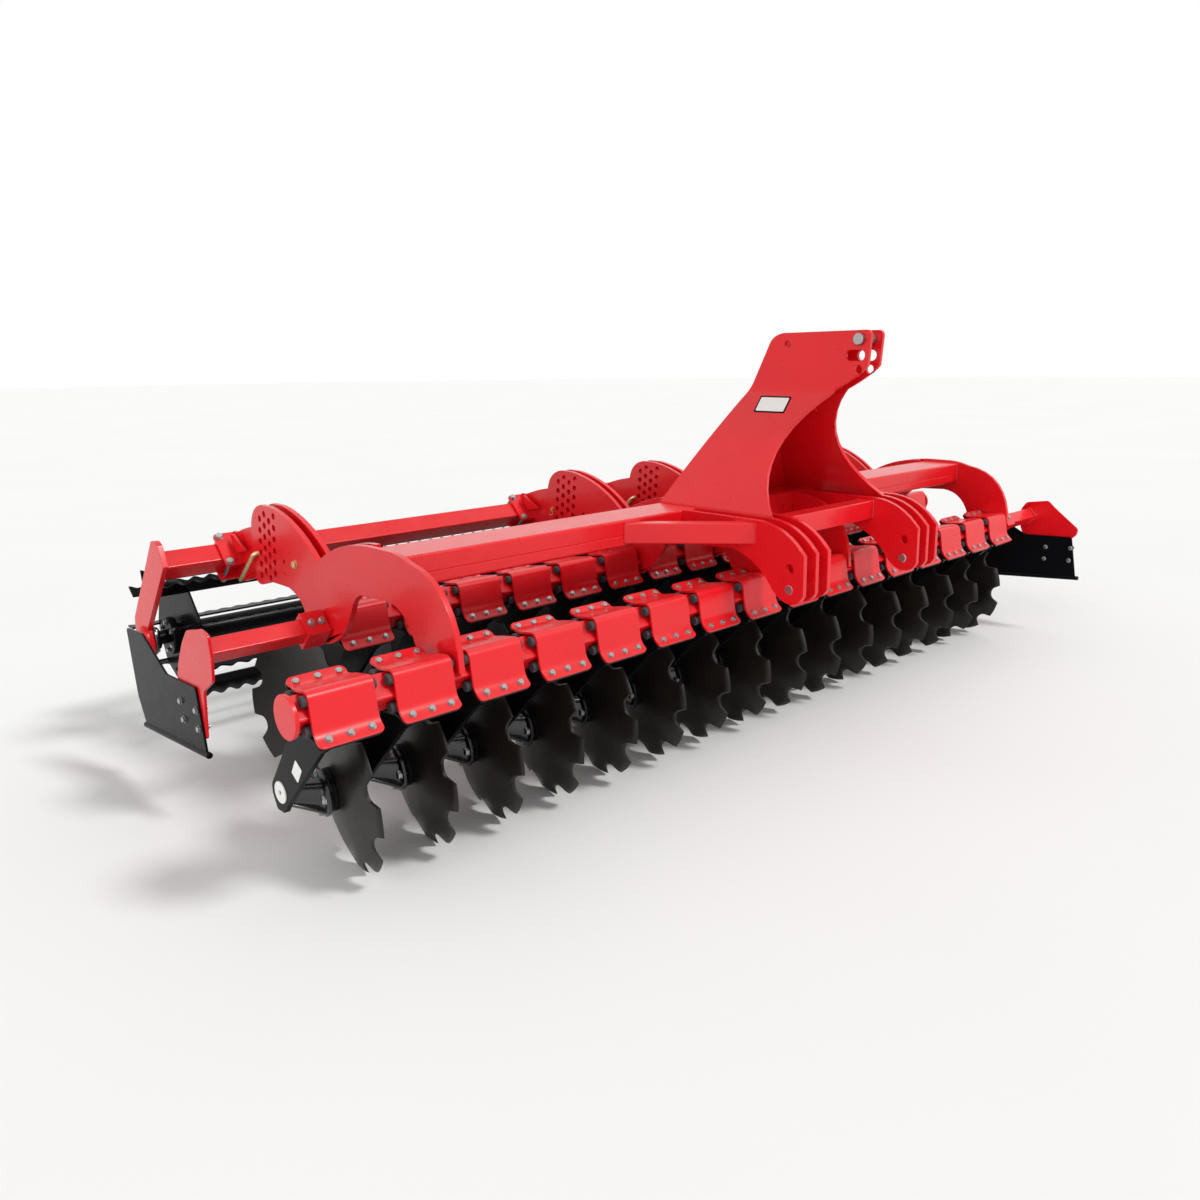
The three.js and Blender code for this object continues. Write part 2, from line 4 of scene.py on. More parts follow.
import bmesh
import bpy
from mathutils import Matrix, Vector
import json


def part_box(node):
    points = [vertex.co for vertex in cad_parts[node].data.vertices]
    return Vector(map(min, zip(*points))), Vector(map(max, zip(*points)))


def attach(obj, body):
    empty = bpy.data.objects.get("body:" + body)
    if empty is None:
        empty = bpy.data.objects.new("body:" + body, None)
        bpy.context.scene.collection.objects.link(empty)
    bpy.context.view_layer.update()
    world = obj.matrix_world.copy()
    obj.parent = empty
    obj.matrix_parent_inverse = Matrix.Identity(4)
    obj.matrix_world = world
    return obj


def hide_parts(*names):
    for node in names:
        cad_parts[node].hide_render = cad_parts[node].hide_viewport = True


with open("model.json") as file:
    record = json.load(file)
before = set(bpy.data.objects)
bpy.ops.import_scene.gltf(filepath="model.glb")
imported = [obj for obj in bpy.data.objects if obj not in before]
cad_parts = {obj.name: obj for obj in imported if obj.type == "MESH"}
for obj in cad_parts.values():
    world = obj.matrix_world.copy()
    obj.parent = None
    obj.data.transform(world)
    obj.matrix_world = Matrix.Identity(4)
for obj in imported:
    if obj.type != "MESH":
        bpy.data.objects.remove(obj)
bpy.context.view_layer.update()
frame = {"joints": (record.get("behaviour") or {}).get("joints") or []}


# -------------------- the studio
# A wide pale floor in an even white room, with a soft key light over the machine's front and a
# broad fill on its right side. The camera stands off the front right corner at eye height.
def linear(code):
    """Linear red, green, blue and alpha of an sRGB colour written as six hex digits."""
    channels = [int(code[i:i + 2], 16) / 255 for i in (0, 2, 4)]
    return [c / 12.92 if c < 0.04045 else ((c + 0.055) / 1.055) ** 2.4 for c in channels] + [1]


def add_node(tree, kind, inputs=None, **settings):
    """Adds a shader node, sets its properties, and sets or links its inputs."""
    made = tree.nodes.new("ShaderNode" + kind)
    for name, value in settings.items():
        setattr(made, name, value)
    for name, value in (inputs or {}).items():
        if isinstance(value, bpy.types.NodeSocket):
            tree.links.new(value, made.inputs[name])
        else:
            made.inputs[name].default_value = value
    return made


def start_material(name, colour, roughness, metallic=0.0):
    """A material with its Principled shader set to plain values, ready for its nodes."""
    material = bpy.data.materials.new(name)
    material.use_nodes = True
    shader = material.node_tree.nodes["Principled BSDF"]
    shader.inputs["Base Color"].default_value = linear(colour)
    shader.inputs["Roughness"].default_value = roughness
    shader.inputs["Metallic"].default_value = metallic
    return material, shader


def clouded(name, colour, roughness, metallic, tones, spot, detail, rough_range=None, relief=None):
    """A material that drifts between two tones in spots of a width in metres.

    Its roughness may follow the spots, and it may have a relief of (width, strength, depth).
    """
    material, shader = start_material(name, colour, roughness, metallic)
    tree = material.node_tree
    place = add_node(tree, "TexCoord").outputs["Object"]
    cloud = add_node(tree, "TexNoise", {"Vector": place, "Scale": 1 / spot, "Detail": detail})
    tone = add_node(tree, "Mix", {0: cloud.outputs[0], 6: linear(tones[0]), 7: linear(tones[1])},
        data_type="RGBA")
    tree.links.new(tone.outputs[2], shader.inputs["Base Color"])
    if rough_range:
        rough = add_node(tree, "MapRange", {"Value": cloud.outputs[0], "To Min": rough_range[0],
            "To Max": rough_range[1]})
        tree.links.new(rough.outputs[0], shader.inputs["Roughness"])
    if relief:
        width, strength, depth = relief
        grain = add_node(tree, "TexNoise", {"Vector": place, "Scale": 1 / width, "Detail": 4.0})
        bumps = add_node(tree, "Bump", {"Height": grain.outputs[0], "Strength": strength, "Distance": depth})
        tree.links.new(bumps.outputs[0], shader.inputs["Normal"])
    return material, shader


show = bpy.context.scene.collection.objects.link
camera = bpy.data.cameras.new("camera")
camera.lens = 29.285
camera.sensor_width = 36
camera.shift_x = -0.00106
camera.shift_y = -0.0076
camera_stand = bpy.data.objects.new("camera", camera)
yaw, pitch, roll = (radians(angle) for angle in (43.5412, 13.5806, -0.5455))
camera_stand.matrix_world = (
    Matrix.Translation((-3.27502, -3.04445, 1.49982)) @ Matrix.Rotation(-yaw, 4, "Z")
    @ Matrix.Rotation(pi / 2 - pitch, 4, "X") @ Matrix.Rotation(roll, 4, "Z"))
show(camera_stand)
bpy.context.scene.camera = camera_stand
bpy.context.scene.view_settings.view_transform = "Standard"

for name, energy, spread, source in (("key_light", 1.65, 12, (0.38, -0.75, 0.9)),
        ("side_fill", 1.0, 50, (-0.9, -0.3, 0.35))):
    light = bpy.data.lights.new(name, "SUN")
    light.energy = energy
    light.angle = radians(spread)
    stand = bpy.data.objects.new(name, light)
    stand.rotation_euler = Vector(source).to_track_quat("Z", "Y").to_euler()
    show(stand)

room = bpy.data.worlds.new("room")
room.use_nodes = True
bpy.context.scene.world = room
room_background = room.node_tree.nodes["Background"]
room_light = add_node(room.node_tree, "LightPath")
mirrored = add_node(room.node_tree, "Math", {0: room_light.outputs["Is Glossy Ray"],
    1: room_light.outputs["Is Transmission Ray"]}, operation="MAXIMUM")
seen = add_node(room.node_tree, "Math", {0: room_light.outputs["Is Camera Ray"], 1: mirrored.outputs[0]},
    operation="MAXIMUM")
strength = add_node(room.node_tree, "MapRange", {"Value": seen.outputs[0], "To Min": 0.6, "To Max": 1.0})
room_background.inputs["Color"].default_value = (1, 1, 1, 1)
room.node_tree.links.new(strength.outputs[0], room_background.inputs["Strength"])

# The floor's tone drifts over about 1.7 m.
floor_paint = clouded("pale floor paint", "EFEFEE", 0.8, 0, ("F1F1F0", "ECECEB"), 1 / 0.6, 2.0)[0]
floor_shape = bmesh.new()
bmesh.ops.create_circle(floor_shape, cap_ends=True, radius=60, segments=64)
bmesh.ops.translate(floor_shape, verts=floor_shape.verts, vec=(0, 0, -0.001))
floor_mesh = bpy.data.meshes.new("floor")
floor_shape.to_mesh(floor_mesh)
floor_mesh.materials.append(floor_paint)
floor = bpy.data.objects.new("floor", floor_mesh)
show(floor)


# -------------------- main beam
# The box beam that everything hangs from: two pressed channels of 8 mm steel welded edge to
# edge, so that a shallow seam runs along its front and rear. It is sprayed with red enamel.
beam_front, beam_rear, beam_bottom, beam_top = 230, 427, 817, 917
beam_half = 1731.65
gang_height = 610
row_pitch = 718
plate_thickness = 20
touch = 0.35  # gap between welded parts, as in the frame
beam_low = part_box("main_beam")[0]
# Everything below is drawn in millimetres from the front gang's tube and the ground.
drawing = Matrix.Translation((0, beam_low.y - beam_front / 1000, beam_low.z - beam_bottom / 1000))
drawing = drawing @ Matrix.Scale(0.001, 4)


def enamel(name, colour, shade, dust_and_sheen, roughness, shine, coat, peel_width=0.014, peel_depth=0.0002):
    """Two-pack enamel: even colour with broad shading, a soft orange peel and a clear gloss."""
    material, shader = start_material(name, colour, roughness)
    shader.inputs["Specular IOR Level"].default_value = shine
    tree = material.node_tree
    place = add_node(tree, "TexCoord").outputs["Object"]
    # The spray passes leave broad lighter and deeper bands about 0.4 m apart.
    passes = add_node(tree, "TexNoise", {"Vector": place, "Scale": 1 / 0.4, "Detail": 3.0})
    tone = add_node(tree, "Mix", {0: passes.outputs[0], 6: linear(colour), 7: linear(shade)},
        data_type="RGBA")
    # A pale film lies on what faces up, in patches some 60 mm across: part dust, part painted sheen for the
    # sky on the tops.
    facing = add_node(tree, "SeparateXYZ", {0: add_node(tree, "NewGeometry").outputs["Normal"]})
    patches = add_node(tree, "TexNoise", {"Vector": place, "Scale": 1 / 0.06, "Detail": 5.0})
    dust_and_sheen_mask = add_node(tree, "Math", {0: facing.outputs["Z"], 1: patches.outputs[0]}, operation="MULTIPLY")
    film = add_node(tree, "MapRange", {"Value": dust_and_sheen_mask.outputs[0], "From Min": 0.2, "From Max": 0.8,
        "To Max": 0.05})
    dust_and_sheen_mix = add_node(tree, "Mix", {0: film.outputs[0], 6: tone.outputs[2], 7: linear(dust_and_sheen)},
        data_type="RGBA")
    tree.links.new(dust_and_sheen_mix.outputs[2], shader.inputs["Base Color"])
    rough = add_node(tree, "MapRange", {"Value": patches.outputs[0], "To Min": roughness - 0.06,
        "To Max": roughness + 0.1})
    tree.links.new(rough.outputs[0], shader.inputs["Roughness"])
    # Orange peel is really 2 mm wide; it is drawn 14 mm wide, so that it shows.
    peel = add_node(tree, "TexNoise", {"Vector": place, "Scale": 1 / peel_width, "Detail": 2.0})
    relief = add_node(tree, "Bump", {"Height": peel.outputs[0], "Strength": 0.3, "Distance": peel_depth})
    tree.links.new(relief.outputs[0], shader.inputs["Normal"])
    shader.inputs["Coat Weight"].default_value = coat
    shader.inputs["Coat Roughness"].default_value = 0.08
    return material


# A look is a material and the slot that it stands for.
# Its pale pink fourth colour is painted sheen on the up-facing faces, with a little dust.
red = enamel("red two-pack enamel", "E50F1B", "D00B16", "D8A79C", 0.28, 0.4, 0.15), "red_paint"


def edge_points(drawn, steps=8):
    """Follows a drawn edge: a point is a straight run, a pair of points a curve round the first."""
    points = []
    for step in drawn:
        if isinstance(step[0], (int, float)):
            points.append(Vector(step))
            continue
        start, control, end = points[-1], Vector(step[0]), Vector(step[1])
        for i in range(1, steps + 1):
            share = i / steps
            points.append(start.lerp(control, share).lerp(control.lerp(end, share), share))
    return points


def rounded(corners, setback, closed=True):
    """Draws an edge through the corners with each of them rounded off."""
    corners = [Vector(corner) for corner in corners]
    drawn = [] if closed else [tuple(corners[0])]
    inner = range(len(corners)) if closed else range(1, len(corners) - 1)
    for i in inner:
        corner, before, after = corners[i], corners[i - 1], corners[(i + 1) % len(corners)]
        drawn.append(tuple(corner + (before - corner).normalized() * setback))
        drawn.append((tuple(corner), tuple(corner + (after - corner).normalized() * setback)))
    return drawn if closed else drawn + [tuple(corners[-1])]


def rectangle(half_y, half_z):
    return [(-half_y, -half_z), (half_y, -half_z), (half_y, half_z), (-half_y, half_z)]


def round_hole(y, z, radius, length=0, steps=20):
    """Rim of a drilled hole, or of a slot where it is given a length."""
    rim = []
    for i in range(steps):
        angle = tau * (i + 0.5) / steps
        shift = copysign(length / 2, cos(angle))
        rim.append(Vector((y + shift + radius * cos(angle), z + radius * sin(angle))))
    return rim


def break_edges(shape, size, segments=2):
    """Rounds off every edge of a shape that is sharper than 50 degrees."""
    limit = radians(50)
    sharp = [edge for edge in shape.edges if edge.is_manifold and edge.calc_face_angle(0) > limit]
    bmesh.ops.bevel(shape, geom=sharp, offset=size, offset_type="OFFSET", segments=segments,
        profile=0.5, affect="EDGES", material=-1, clamp_overlap=True)


def cut_plate(rim, thickness, holes=(), edge=1.5):
    """A flat plate cut to a rim in (Y, Z), its thickness centred on X = 0."""
    shape = bmesh.new()
    edges = []
    for line in (rim, *holes):
        corners = [shape.verts.new((-thickness / 2, y, z)) for y, z in line]
        edges += [shape.edges.new(ends) for ends in zip(corners, corners[1:] + corners[:1])]
    if holes:
        bmesh.ops.triangle_fill(shape, use_beauty=True, use_dissolve=False, edges=edges)
        bmesh.ops.dissolve_limit(shape, angle_limit=0.01, verts=shape.verts, edges=shape.edges)
    else:
        shape.faces.new(corners)
    grown = bmesh.ops.extrude_face_region(shape, geom=shape.faces[:])["geom"]
    far_side = [part for part in grown if isinstance(part, bmesh.types.BMVert)]
    bmesh.ops.translate(shape, verts=far_side, vec=(thickness, 0, 0))
    bmesh.ops.recalc_face_normals(shape, faces=shape.faces)
    if edge:
        break_edges(shape, edge)
    return shape


def as_mesh(shape, name="copy"):
    """Turns a shape into a mesh. The shape is used up."""
    mesh = bpy.data.meshes.new(name)
    shape.to_mesh(mesh)
    shape.free()
    return mesh


def repeated(pattern, places):
    """One shape that holds a copy of the pattern at each place. The pattern is used up."""
    copy = as_mesh(pattern)
    shape = bmesh.new()
    for place in places:
        count = len(shape.verts)
        shape.from_mesh(copy)
        shape.verts.ensure_lookup_table()
        bmesh.ops.transform(shape, matrix=place, verts=shape.verts[count:])
    bpy.data.meshes.remove(copy)
    return shape


def moved(x=0, y=0, z=0):
    return Matrix.Translation((x, y, z))


def put(shape, place):
    """Moves a shape to a place and hands it back."""
    bmesh.ops.transform(shape, matrix=place, verts=shape.verts)
    return shape


def joined(*shapes):
    """Puts several shapes in one, as they lie. The shapes are used up."""
    whole = bmesh.new()
    for shape in shapes:
        copy = as_mesh(shape)
        whole.from_mesh(copy)
        bpy.data.meshes.remove(copy)
    return whole


def finish(name, shape, look, replaces=(), body="frame", place=drawing, smooth_below=38):
    """Sets a finished shape in the frame as a piece that rides on a body."""
    material, slot = look
    put(shape, place)
    bmesh.ops.recalc_face_normals(shape, faces=shape.faces)
    for face in shape.faces:
        face.smooth = True
    for edge in shape.edges:
        edge.smooth = edge.calc_face_angle(0) < radians(smooth_below)
    mesh = as_mesh(shape, name)
    mesh.materials.append(material)
    piece = bpy.data.objects.new(name, mesh)
    show(piece)
    piece.modifiers.new("even shading", "WEIGHTED_NORMAL").keep_sharp = True
    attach(piece, body)
    if replaces:
        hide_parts(*replaces)


def skin(shape, rings):
    """Closes a row of rings into a rod with flat ends."""
    for low, high in zip(rings, rings[1:]):
        for k in range(len(low)):
            shape.faces.new((low[k - 1], low[k], high[k], high[k - 1]))
    shape.faces.new(rings[0])
    shape.faces.new(rings[-1])


def bead(*corners, radius=3.5):
    """A weld bead along a line through the corners, rippled every 7 mm."""
    shape = bmesh.new()
    corners = [Vector(corner) for corner in corners]
    for near, far in zip(corners, corners[1:]):
        steps = max(2, round((far - near).length / 7))
        turn = (far - near).to_track_quat("Z", "Y").to_matrix()
        rings = []
        for i in range(steps + 1):
            swell = radius * (1 if i % 2 else 0.78)
            centre = near.lerp(far, i / steps)
            around = [tau * k / 6 for k in range(6)]
            circle = [Vector((swell * cos(a), swell * sin(a), 0)) for a in around]
            rings.append([shape.verts.new(centre + turn @ spot) for spot in circle])
        skin(shape, rings)
    return shape


def score(shape, heights):
    """Cuts edges round a shape at the heights, without parting it."""
    for height in heights:
        bmesh.ops.bisect_plane(shape, geom=shape.verts[:] + shape.edges[:] + shape.faces[:], dist=0.02,
            plane_co=(0, 0, height), plane_no=(0, 0, 1))


seam_height = beam_top - 59
seam_half = 2.5
beam_section = rounded([(beam_front, beam_bottom), (beam_rear, beam_bottom),
    (beam_rear, beam_top), (beam_front, beam_top)], 10)
beam_shape = cut_plate(edge_points(beam_section, 4), 2 * beam_half, edge=0)
score(beam_shape, (seam_height - seam_half, seam_height, seam_height + seam_half))
for corner in beam_shape.verts:
    if abs(corner.co.z - seam_height) < 0.1:
        corner.co.y += seam_half if corner.co.y < (beam_front + beam_rear) / 2 else -seam_half
finish("box_beam", beam_shape, red, ["main_beam"], smooth_below=30)
# Both ends are welded all round to the side plates.
corners = [(beam_front - 1, beam_bottom + 8), (beam_front - 1, beam_top - 8), (beam_front + 8, beam_top + 1),
    (beam_rear - 8, beam_top + 1), (beam_rear + 1, beam_top - 8), (beam_rear + 1, beam_bottom + 8)]
beam_welds = joined(*(bead(*((x, y, z) for y, z in corners)) for x in (1 - beam_half, beam_half - 1)))
finish("beam_end_welds", beam_welds, red)


# -------------------- side and inner frame plates
# Four laser-cut plates, 20 mm thick, carry both gangs: the hooked arm in front sits over the
# front tube, the beam is welded in, the rear tube passes through, and a quadrant closes them.
side_plate_x = 1742
inner_plate_x = 250
quadrant_gap = 46
opening_reach = 57.6  # from the tube's centre to a corner of the opening round it
pivot_y, pivot_z = 895, 800
quadrant_rim = [((590, 925), (734, 833)), ((880, 960), (1064, 984)), (1135, 985),
    ((1232, 970), (1233, 860)), (1225, 700), ((1215, 680), (1182, 681)), (1090, 705), (964, 706)]
# The depth pin's holes stand in four leaning rows, each half a step below the next.
depth_holes = [round_hole(1050 + 37 * row - 0.11 * (z - 850), z, 12, steps=14)
    for row in range(4) for z in [953 - 21 * (row % 2) - 42.5 * i for i in range(6)]]
quadrant_holes = depth_holes + [round_hole(985, 797, 8, steps=12)]
tube_seat = [(124, 640), (72, 624), (43.6, 624), (0, 667.6), (-43.6, 624)]


def diamond(y, z, reach):
    """The corners of a square that stands on one corner."""
    return [(y + reach, z), (y, z + reach), (y - reach, z), (y, z - reach)]


rear_opening = [Vector(corner) for corner in diamond(row_pitch, gang_height, opening_reach)]
under_edge = [((852, 680), (852, 615)), (828, 560), ((743, 525), (640, 575)), ((560, 620), (516, 720)),
    ((490, 763), (440, 765)), (300, 772), ((200, 765), (160, 665)), *tube_seat]
front_hook = [(-66, 624), ((-52, 880), (173, 910))]
beam_notch = [(beam_front - touch, 913), (beam_front - touch, beam_bottom - touch),
    (beam_rear + touch, beam_bottom - touch), (beam_rear + touch, 926)]
outer_rim = edge_points([*front_hook, ((225, 928), (277, 930)), (401, 930), *quadrant_rim, *under_edge])
inner_rim = edge_points([*front_hook, *beam_notch, *quadrant_rim, *under_edge])
twin_rim = edge_points([(beam_rear + touch, beam_bottom), (beam_rear + touch, 926), *quadrant_rim,
    ((900, 735), (740, 742)), ((560, 745), (beam_rear + touch, beam_bottom))])[:-1]
sides = ((-1, "right"), (1, "left"))
for side, hand in sides:
    for place, x, rim in (("side", side_plate_x, outer_rim), ("inner", inner_plate_x, inner_rim)):
        plate = put(cut_plate(rim, plate_thickness, [rear_opening, *quadrant_holes]), moved(side * x))
        finish(f"{place}_frame_plate_{hand}", plate, red, [f"{place}_plate_{hand}"])
    for place, x in (("side", side_plate_x - quadrant_gap), ("inner", inner_plate_x + quadrant_gap)):
        twin = put(cut_plate(twin_rim, plate_thickness, quadrant_holes), moved(side * x))
        weld_x = side * (x - 10 if place == "side" else x - 30)
        weld = bead((weld_x, beam_rear + 2, beam_bottom + 4), (weld_x, beam_rear + 2, beam_top - 6))
        finish(f"{place}_quadrant_plate_{hand}", joined(twin, weld), red,
            [f"{place}_quadrant_{hand}"])


# -------------------- gang tubes
# Two 80 mm square tubes with 8 mm walls, turned to stand on one edge. A round plate is welded
# over the long end; the short end stays open as the socket of the deflector's arm.
gang_tube_side = 80
gang_long_end = 2244
gang_short_end = 1840


def square_tube(side, wall, low, high, corner=7):
    """A square tube along X that stands on one edge, open at both ends."""
    def ring(half, setback):
        square = [(half, 0), (0, half), (-half, 0), (0, -half)]
        return edge_points(rounded([(y * sqrt(2), z * sqrt(2)) for y, z in square], setback), 3)
    tube = cut_plate(ring(side / 2, corner), high - low, [ring(side / 2 - wall, corner / 2)], edge=0)
    return put(tube, moved((low + high) / 2))


def turned(profile, steps=32):
    """A shape turned about Z, from a profile of (radius, height)."""
    shape = bmesh.new()
    line = [shape.verts.new((radius, 0, height)) for radius, height in profile]
    edges = [shape.edges.new(ends) for ends in zip(line, line[1:])]
    bmesh.ops.spin(shape, geom=line + edges, cent=(0, 0, 0), axis=(0, 0, 1), angle=tau,
        steps=steps, use_merge=True)
    bmesh.ops.remove_doubles(shape, verts=shape.verts, dist=0.01)
    bmesh.ops.recalc_face_normals(shape, faces=shape.faces)
    return shape


def on_gang(side, y):
    """From a gang's own drawing, with X from its long end, to its place; the rear one is mirrored."""
    return moved(0, y, gang_height) @ Matrix.Diagonal((side, 1, 1, 1))


along_x = Matrix.Rotation(pi / 2, 4, "Y")
gangs = ((1, "front", 0), (-1, "rear", row_pitch))
for side, row, y in gangs:
    tube = square_tube(gang_tube_side, 8, -gang_long_end + 6, gang_short_end)
    cap = turned([(0, -6), (59.5, -6), (61, -4.5), (61, 4.5), (59.5, 6), (0, 6)], 40)
    put(cap, moved(-gang_long_end) @ along_x)
    finish(f"{row}_gang_tube", put(joined(tube, cap), on_gang(side, y)), red, [f"{row}_gang"])


# -------------------- clamp shells
# Each disc arm is held by two half shells pressed from 8 mm sheet and bolted through their
# flanges. The red one lies over the tube, the black one under it carries the arm.
arms_per_gang = 16
arm_pitch = 250
first_clamp_x = -2115


def bend(sheet, path):
    """Folds a flat sheet: its Z follows the path in (Y, Z), its Y becomes X."""
    marks = [0]
    for near, far in zip(path, path[1:]):
        marks.append(marks[-1] + (far - near).length)
    score(sheet, marks[1:-1])
    runs = [(far - near).normalized() for near, far in zip(path, path[1:])]
    runs = [runs[0]] + [(before + after).normalized() for before, after in zip(runs, runs[1:])] + [runs[-1]]
    for corner in sheet.verts:
        depth, across, along = corner.co
        i = max(k for k in range(len(marks) - 1) if marks[k] <= along + 0.001 or k == 0)
        share = (along - marks[i]) / (marks[i + 1] - marks[i])
        middle = path[i].lerp(path[i + 1], share)
        run = runs[i].lerp(runs[i + 1], min(max(share, 0), 1)).normalized()
        corner.co = (across, middle.x + depth * run.y, middle.y - depth * run.x)


def clamp_shell():
    """The shell over the tube, from its upper rear flange round to its lower front flange."""
    upper_reach, lower_reach, wall, half_sheet = 114, 124, 61, 4
    slope = sqrt(0.5)
    root = wall - 2 * half_sheet * slope
    upper = Vector(((upper_reach - half_sheet) * slope, (upper_reach + half_sheet) * slope))
    lower = Vector((-(lower_reach + half_sheet) * slope, -(lower_reach - half_sheet) * slope))
    bends = [upper, Vector((root, wall)), Vector((-wall, wall)), Vector((-wall, -root)), lower]
    setbacks = [24, 26, 26]
    drawn = [tuple(bends[0])]
    for i, setback in zip((1, 2, 3), setbacks):
        before = (bends[i - 1] - bends[i]).normalized() * setback
        after = (bends[i + 1] - bends[i]).normalized() * setback
        drawn += [tuple(bends[i] + before), (tuple(bends[i]), tuple(bends[i] + after))]
    path = edge_points(drawn + [tuple(lower)], 6)
    length = sum((far - near).length for near, far in zip(path, path[1:]))
    # The blank, as (across, along): the upper flange is narrower and joins in an S on each side.
    half, flange_half = 95, 86
    half_rim = [(0, 0), (flange_half - 20, 0), ((flange_half, 0), (flange_half, 20)), (flange_half, 22),
        ((flange_half - 8, 44), (half - 6, 56)), ((half, 60), (half, 84)),
        (half, length - 18), ((half, length), (half - 18, length)), (0, length)]
    rim = edge_points(half_rim, 5)[1:-1]
    rim += [Vector((-y, z)) for y, z in reversed(rim)]
    sheet = cut_plate(rim, 8, edge=1.2)
    bend(sheet, path)
    bmesh.ops.recalc_face_normals(sheet, faces=sheet.faces)
    return sheet


def clamp_places(side, y, tilt=0):
    """Where the clamps of a gang sit, from the tube's centre, turned back about the tube."""
    xs = [first_clamp_x + arm_pitch * i for i in range(arms_per_gang)]
    turn = Matrix.Rotation(-radians(tilt), 4, "X")
    return [on_gang(side, y) @ moved(x) @ turn for x in xs]


# The arms' weight turns the shells back by 9 degrees in their rubbers.
clamp_tilt = 9
black = enamel("black two-pack enamel", "0B0B0D", "121114", "3A3632", 0.24, 0.06, 0.04), "black_paint"
half_turn = Matrix.Rotation(pi, 4, "X")
under_swap = Matrix(((1, 0, 0, 0), (0, 0, 1, 0), (0, 1, 0, 0), (0, 0, 0, 1)))
for side, row, y in gangs:
    over = clamp_places(side, y, clamp_tilt)
    finish(f"{row}_clamp_shells", repeated(clamp_shell(), over), red)
    under = [place @ under_swap for place in over]
    finish(f"{row}_lower_shells", repeated(clamp_shell(), under), black)


# -------------------- rubber cords
# Four solid rubber cords in the corners between shells and tube let each arm swing up over a
# stone. They are cut from 32 mm extruded cord, and stand out a little on both sides.
# Bloom and dust lighten it in spots about 8 mm across.
rubber = clouded("extruded natural rubber", "232326", 0.72, 0, ("222022", "454146"), 0.008, 4.0,
    relief=(0.008, 0.4, 0.0008))[0], "black_rubber"
for side, row, y in gangs:
    cord = turned([(0, -107), (13, -107), (16, -103), (16, 103), (13, 107), (0, 107)], 18)
    corners = [(-40, -40), (-40, 40), (40, -40), (40, 40)]
    places = [place @ moved(0, *corner) @ along_x for place in clamp_places(side, y, clamp_tilt / 2)
        for corner in corners]
    finish(f"{row}_rubber_cords", repeated(cord, places), rubber)


# -------------------- clamp bolts
# Six 11 mm bolts hold each pair of shells, three through a flange, with plain washers under the
# heads and nuts below. They are zinc-plated.
# The passivated plating clouds over in patches of a few millimetres.
zinc = clouded("zinc-plated steel", "A6A8AA", 0.3, 1.0, ("8C8E90", "BFBFBD"), 0.006, 3.0,
    rough_range=(0.22, 0.42))[0], "zinc"


def prism(shape, faces, radius, low, high, top=None):
    """Adds an upright bar with that many faces to a shape."""
    bmesh.ops.create_cone(shape, cap_ends=True, segments=faces, radius1=radius, radius2=top or radius,
        depth=high - low, matrix=moved(z=(low + high) / 2))


def bolt_head(size):
    """Washer and hexagon head on Z = 0, for a bolt of that thread size."""
    head = bmesh.new()
    prism(head, 6, 0.9 * size, 0.16 * size, 0.8 * size)
    top = [edge for edge in head.edges if all(end.co.z > 0.7 * size for end in edge.verts)]
    bmesh.ops.bevel(head, geom=top, offset=0.14 * size, segments=1, profile=0.5, affect="EDGES", material=-1)
    prism(head, 12, 1.05 * size, 0, 0.16 * size)
    return head


def bolt_end(size):
    """Nut and the end of the thread on Z = 0."""
    end = bmesh.new()
    prism(end, 6, 0.93 * size, 0, 0.8 * size)
    prism(end, 10, 0.5 * size, 0.8 * size, 1.5 * size, 0.42 * size)
    return end


def facing(x, y, z):
    """Turns a shape from standing on Z to looking along a direction."""
    return Vector((x, y, z)).to_track_quat("Z", "Y").to_matrix().to_4x4()


def finish_bolts(name, bolts, body="frame", place=drawing, look=zinc):
    """Finishes bolts, whose hexagon sides stay flat."""
    finish(name, bolts, look, (), body, place, smooth_below=25)


clamp_bolt = 11
sheet = 8
for side, row, y in gangs:
    heads, ends = [], []
    for place in clamp_places(side, y, clamp_tilt):
        for x in (-63, 0, 63):
            for reach in (94, -102):
                low, high = (reach - sheet) * sqrt(0.5), (reach + sheet) * sqrt(0.5)
                heads.append(place @ moved(x, low, high) @ facing(0, -1, 1))
                ends.append(place @ moved(x, high, low) @ facing(0, 1, -1))
    bolts = joined(repeated(bolt_head(clamp_bolt), heads), repeated(bolt_end(clamp_bolt), ends))
    finish_bolts(f"{row}_clamp_bolts", bolts)


# -------------------- disc arms and hubs
# Each arm is cut from 16 mm plate and reaches back and down from its clamp to a hub, an iron
# casting with a bearing inside. Both are black; a white cap closes the spindle's bore.
arm_face = -60
arm_thickness = 16
arm_rim = edge_points(rounded([(-60, -95), (-56, -60), (58, -60), (165, -136), (286, -297), (286, -326),
    (262, -369), (217, -368), (186, -330), (-26, -116)], 7), 3)
hub_rise = 38


def spread(count, first=0):
    """Turns about Z, evenly spread."""
    return [Matrix.Rotation(tau / count * i + first, 4, "Z") for i in range(count)]


def hub_shape(arm_end):
    """The fixed hub about Z: ribbed casting from the flange behind the disc to the arm."""
    flange = -26
    body = turned([(0, flange), (72, flange), (75, flange - 3), (75, flange - 11), (71, flange - 15),
        (60, flange - 17), (50, flange - 34), (37, arm_end), (0, arm_end)], 36)
    rib = cut_plate([(30, arm_end + 4), (42, arm_end + 4), (70, flange - 14), (40, flange - 14)], 15, edge=4)
    casting = joined(body, repeated(rib, spread(4, pi / 4)))
    bolts = [turn @ moved(58, 0, flange - 15) @ half_turn for turn in spread(4)]
    # The casting is cranked: its arm end stands above the disc's axis.
    for corner in casting.verts:
        back = flange - 16 - corner.co.z
        corner.co.y += hub_rise * max(back, 0) / (flange - 16 - arm_end)
    return casting, repeated(bolt_head(15), bolts)


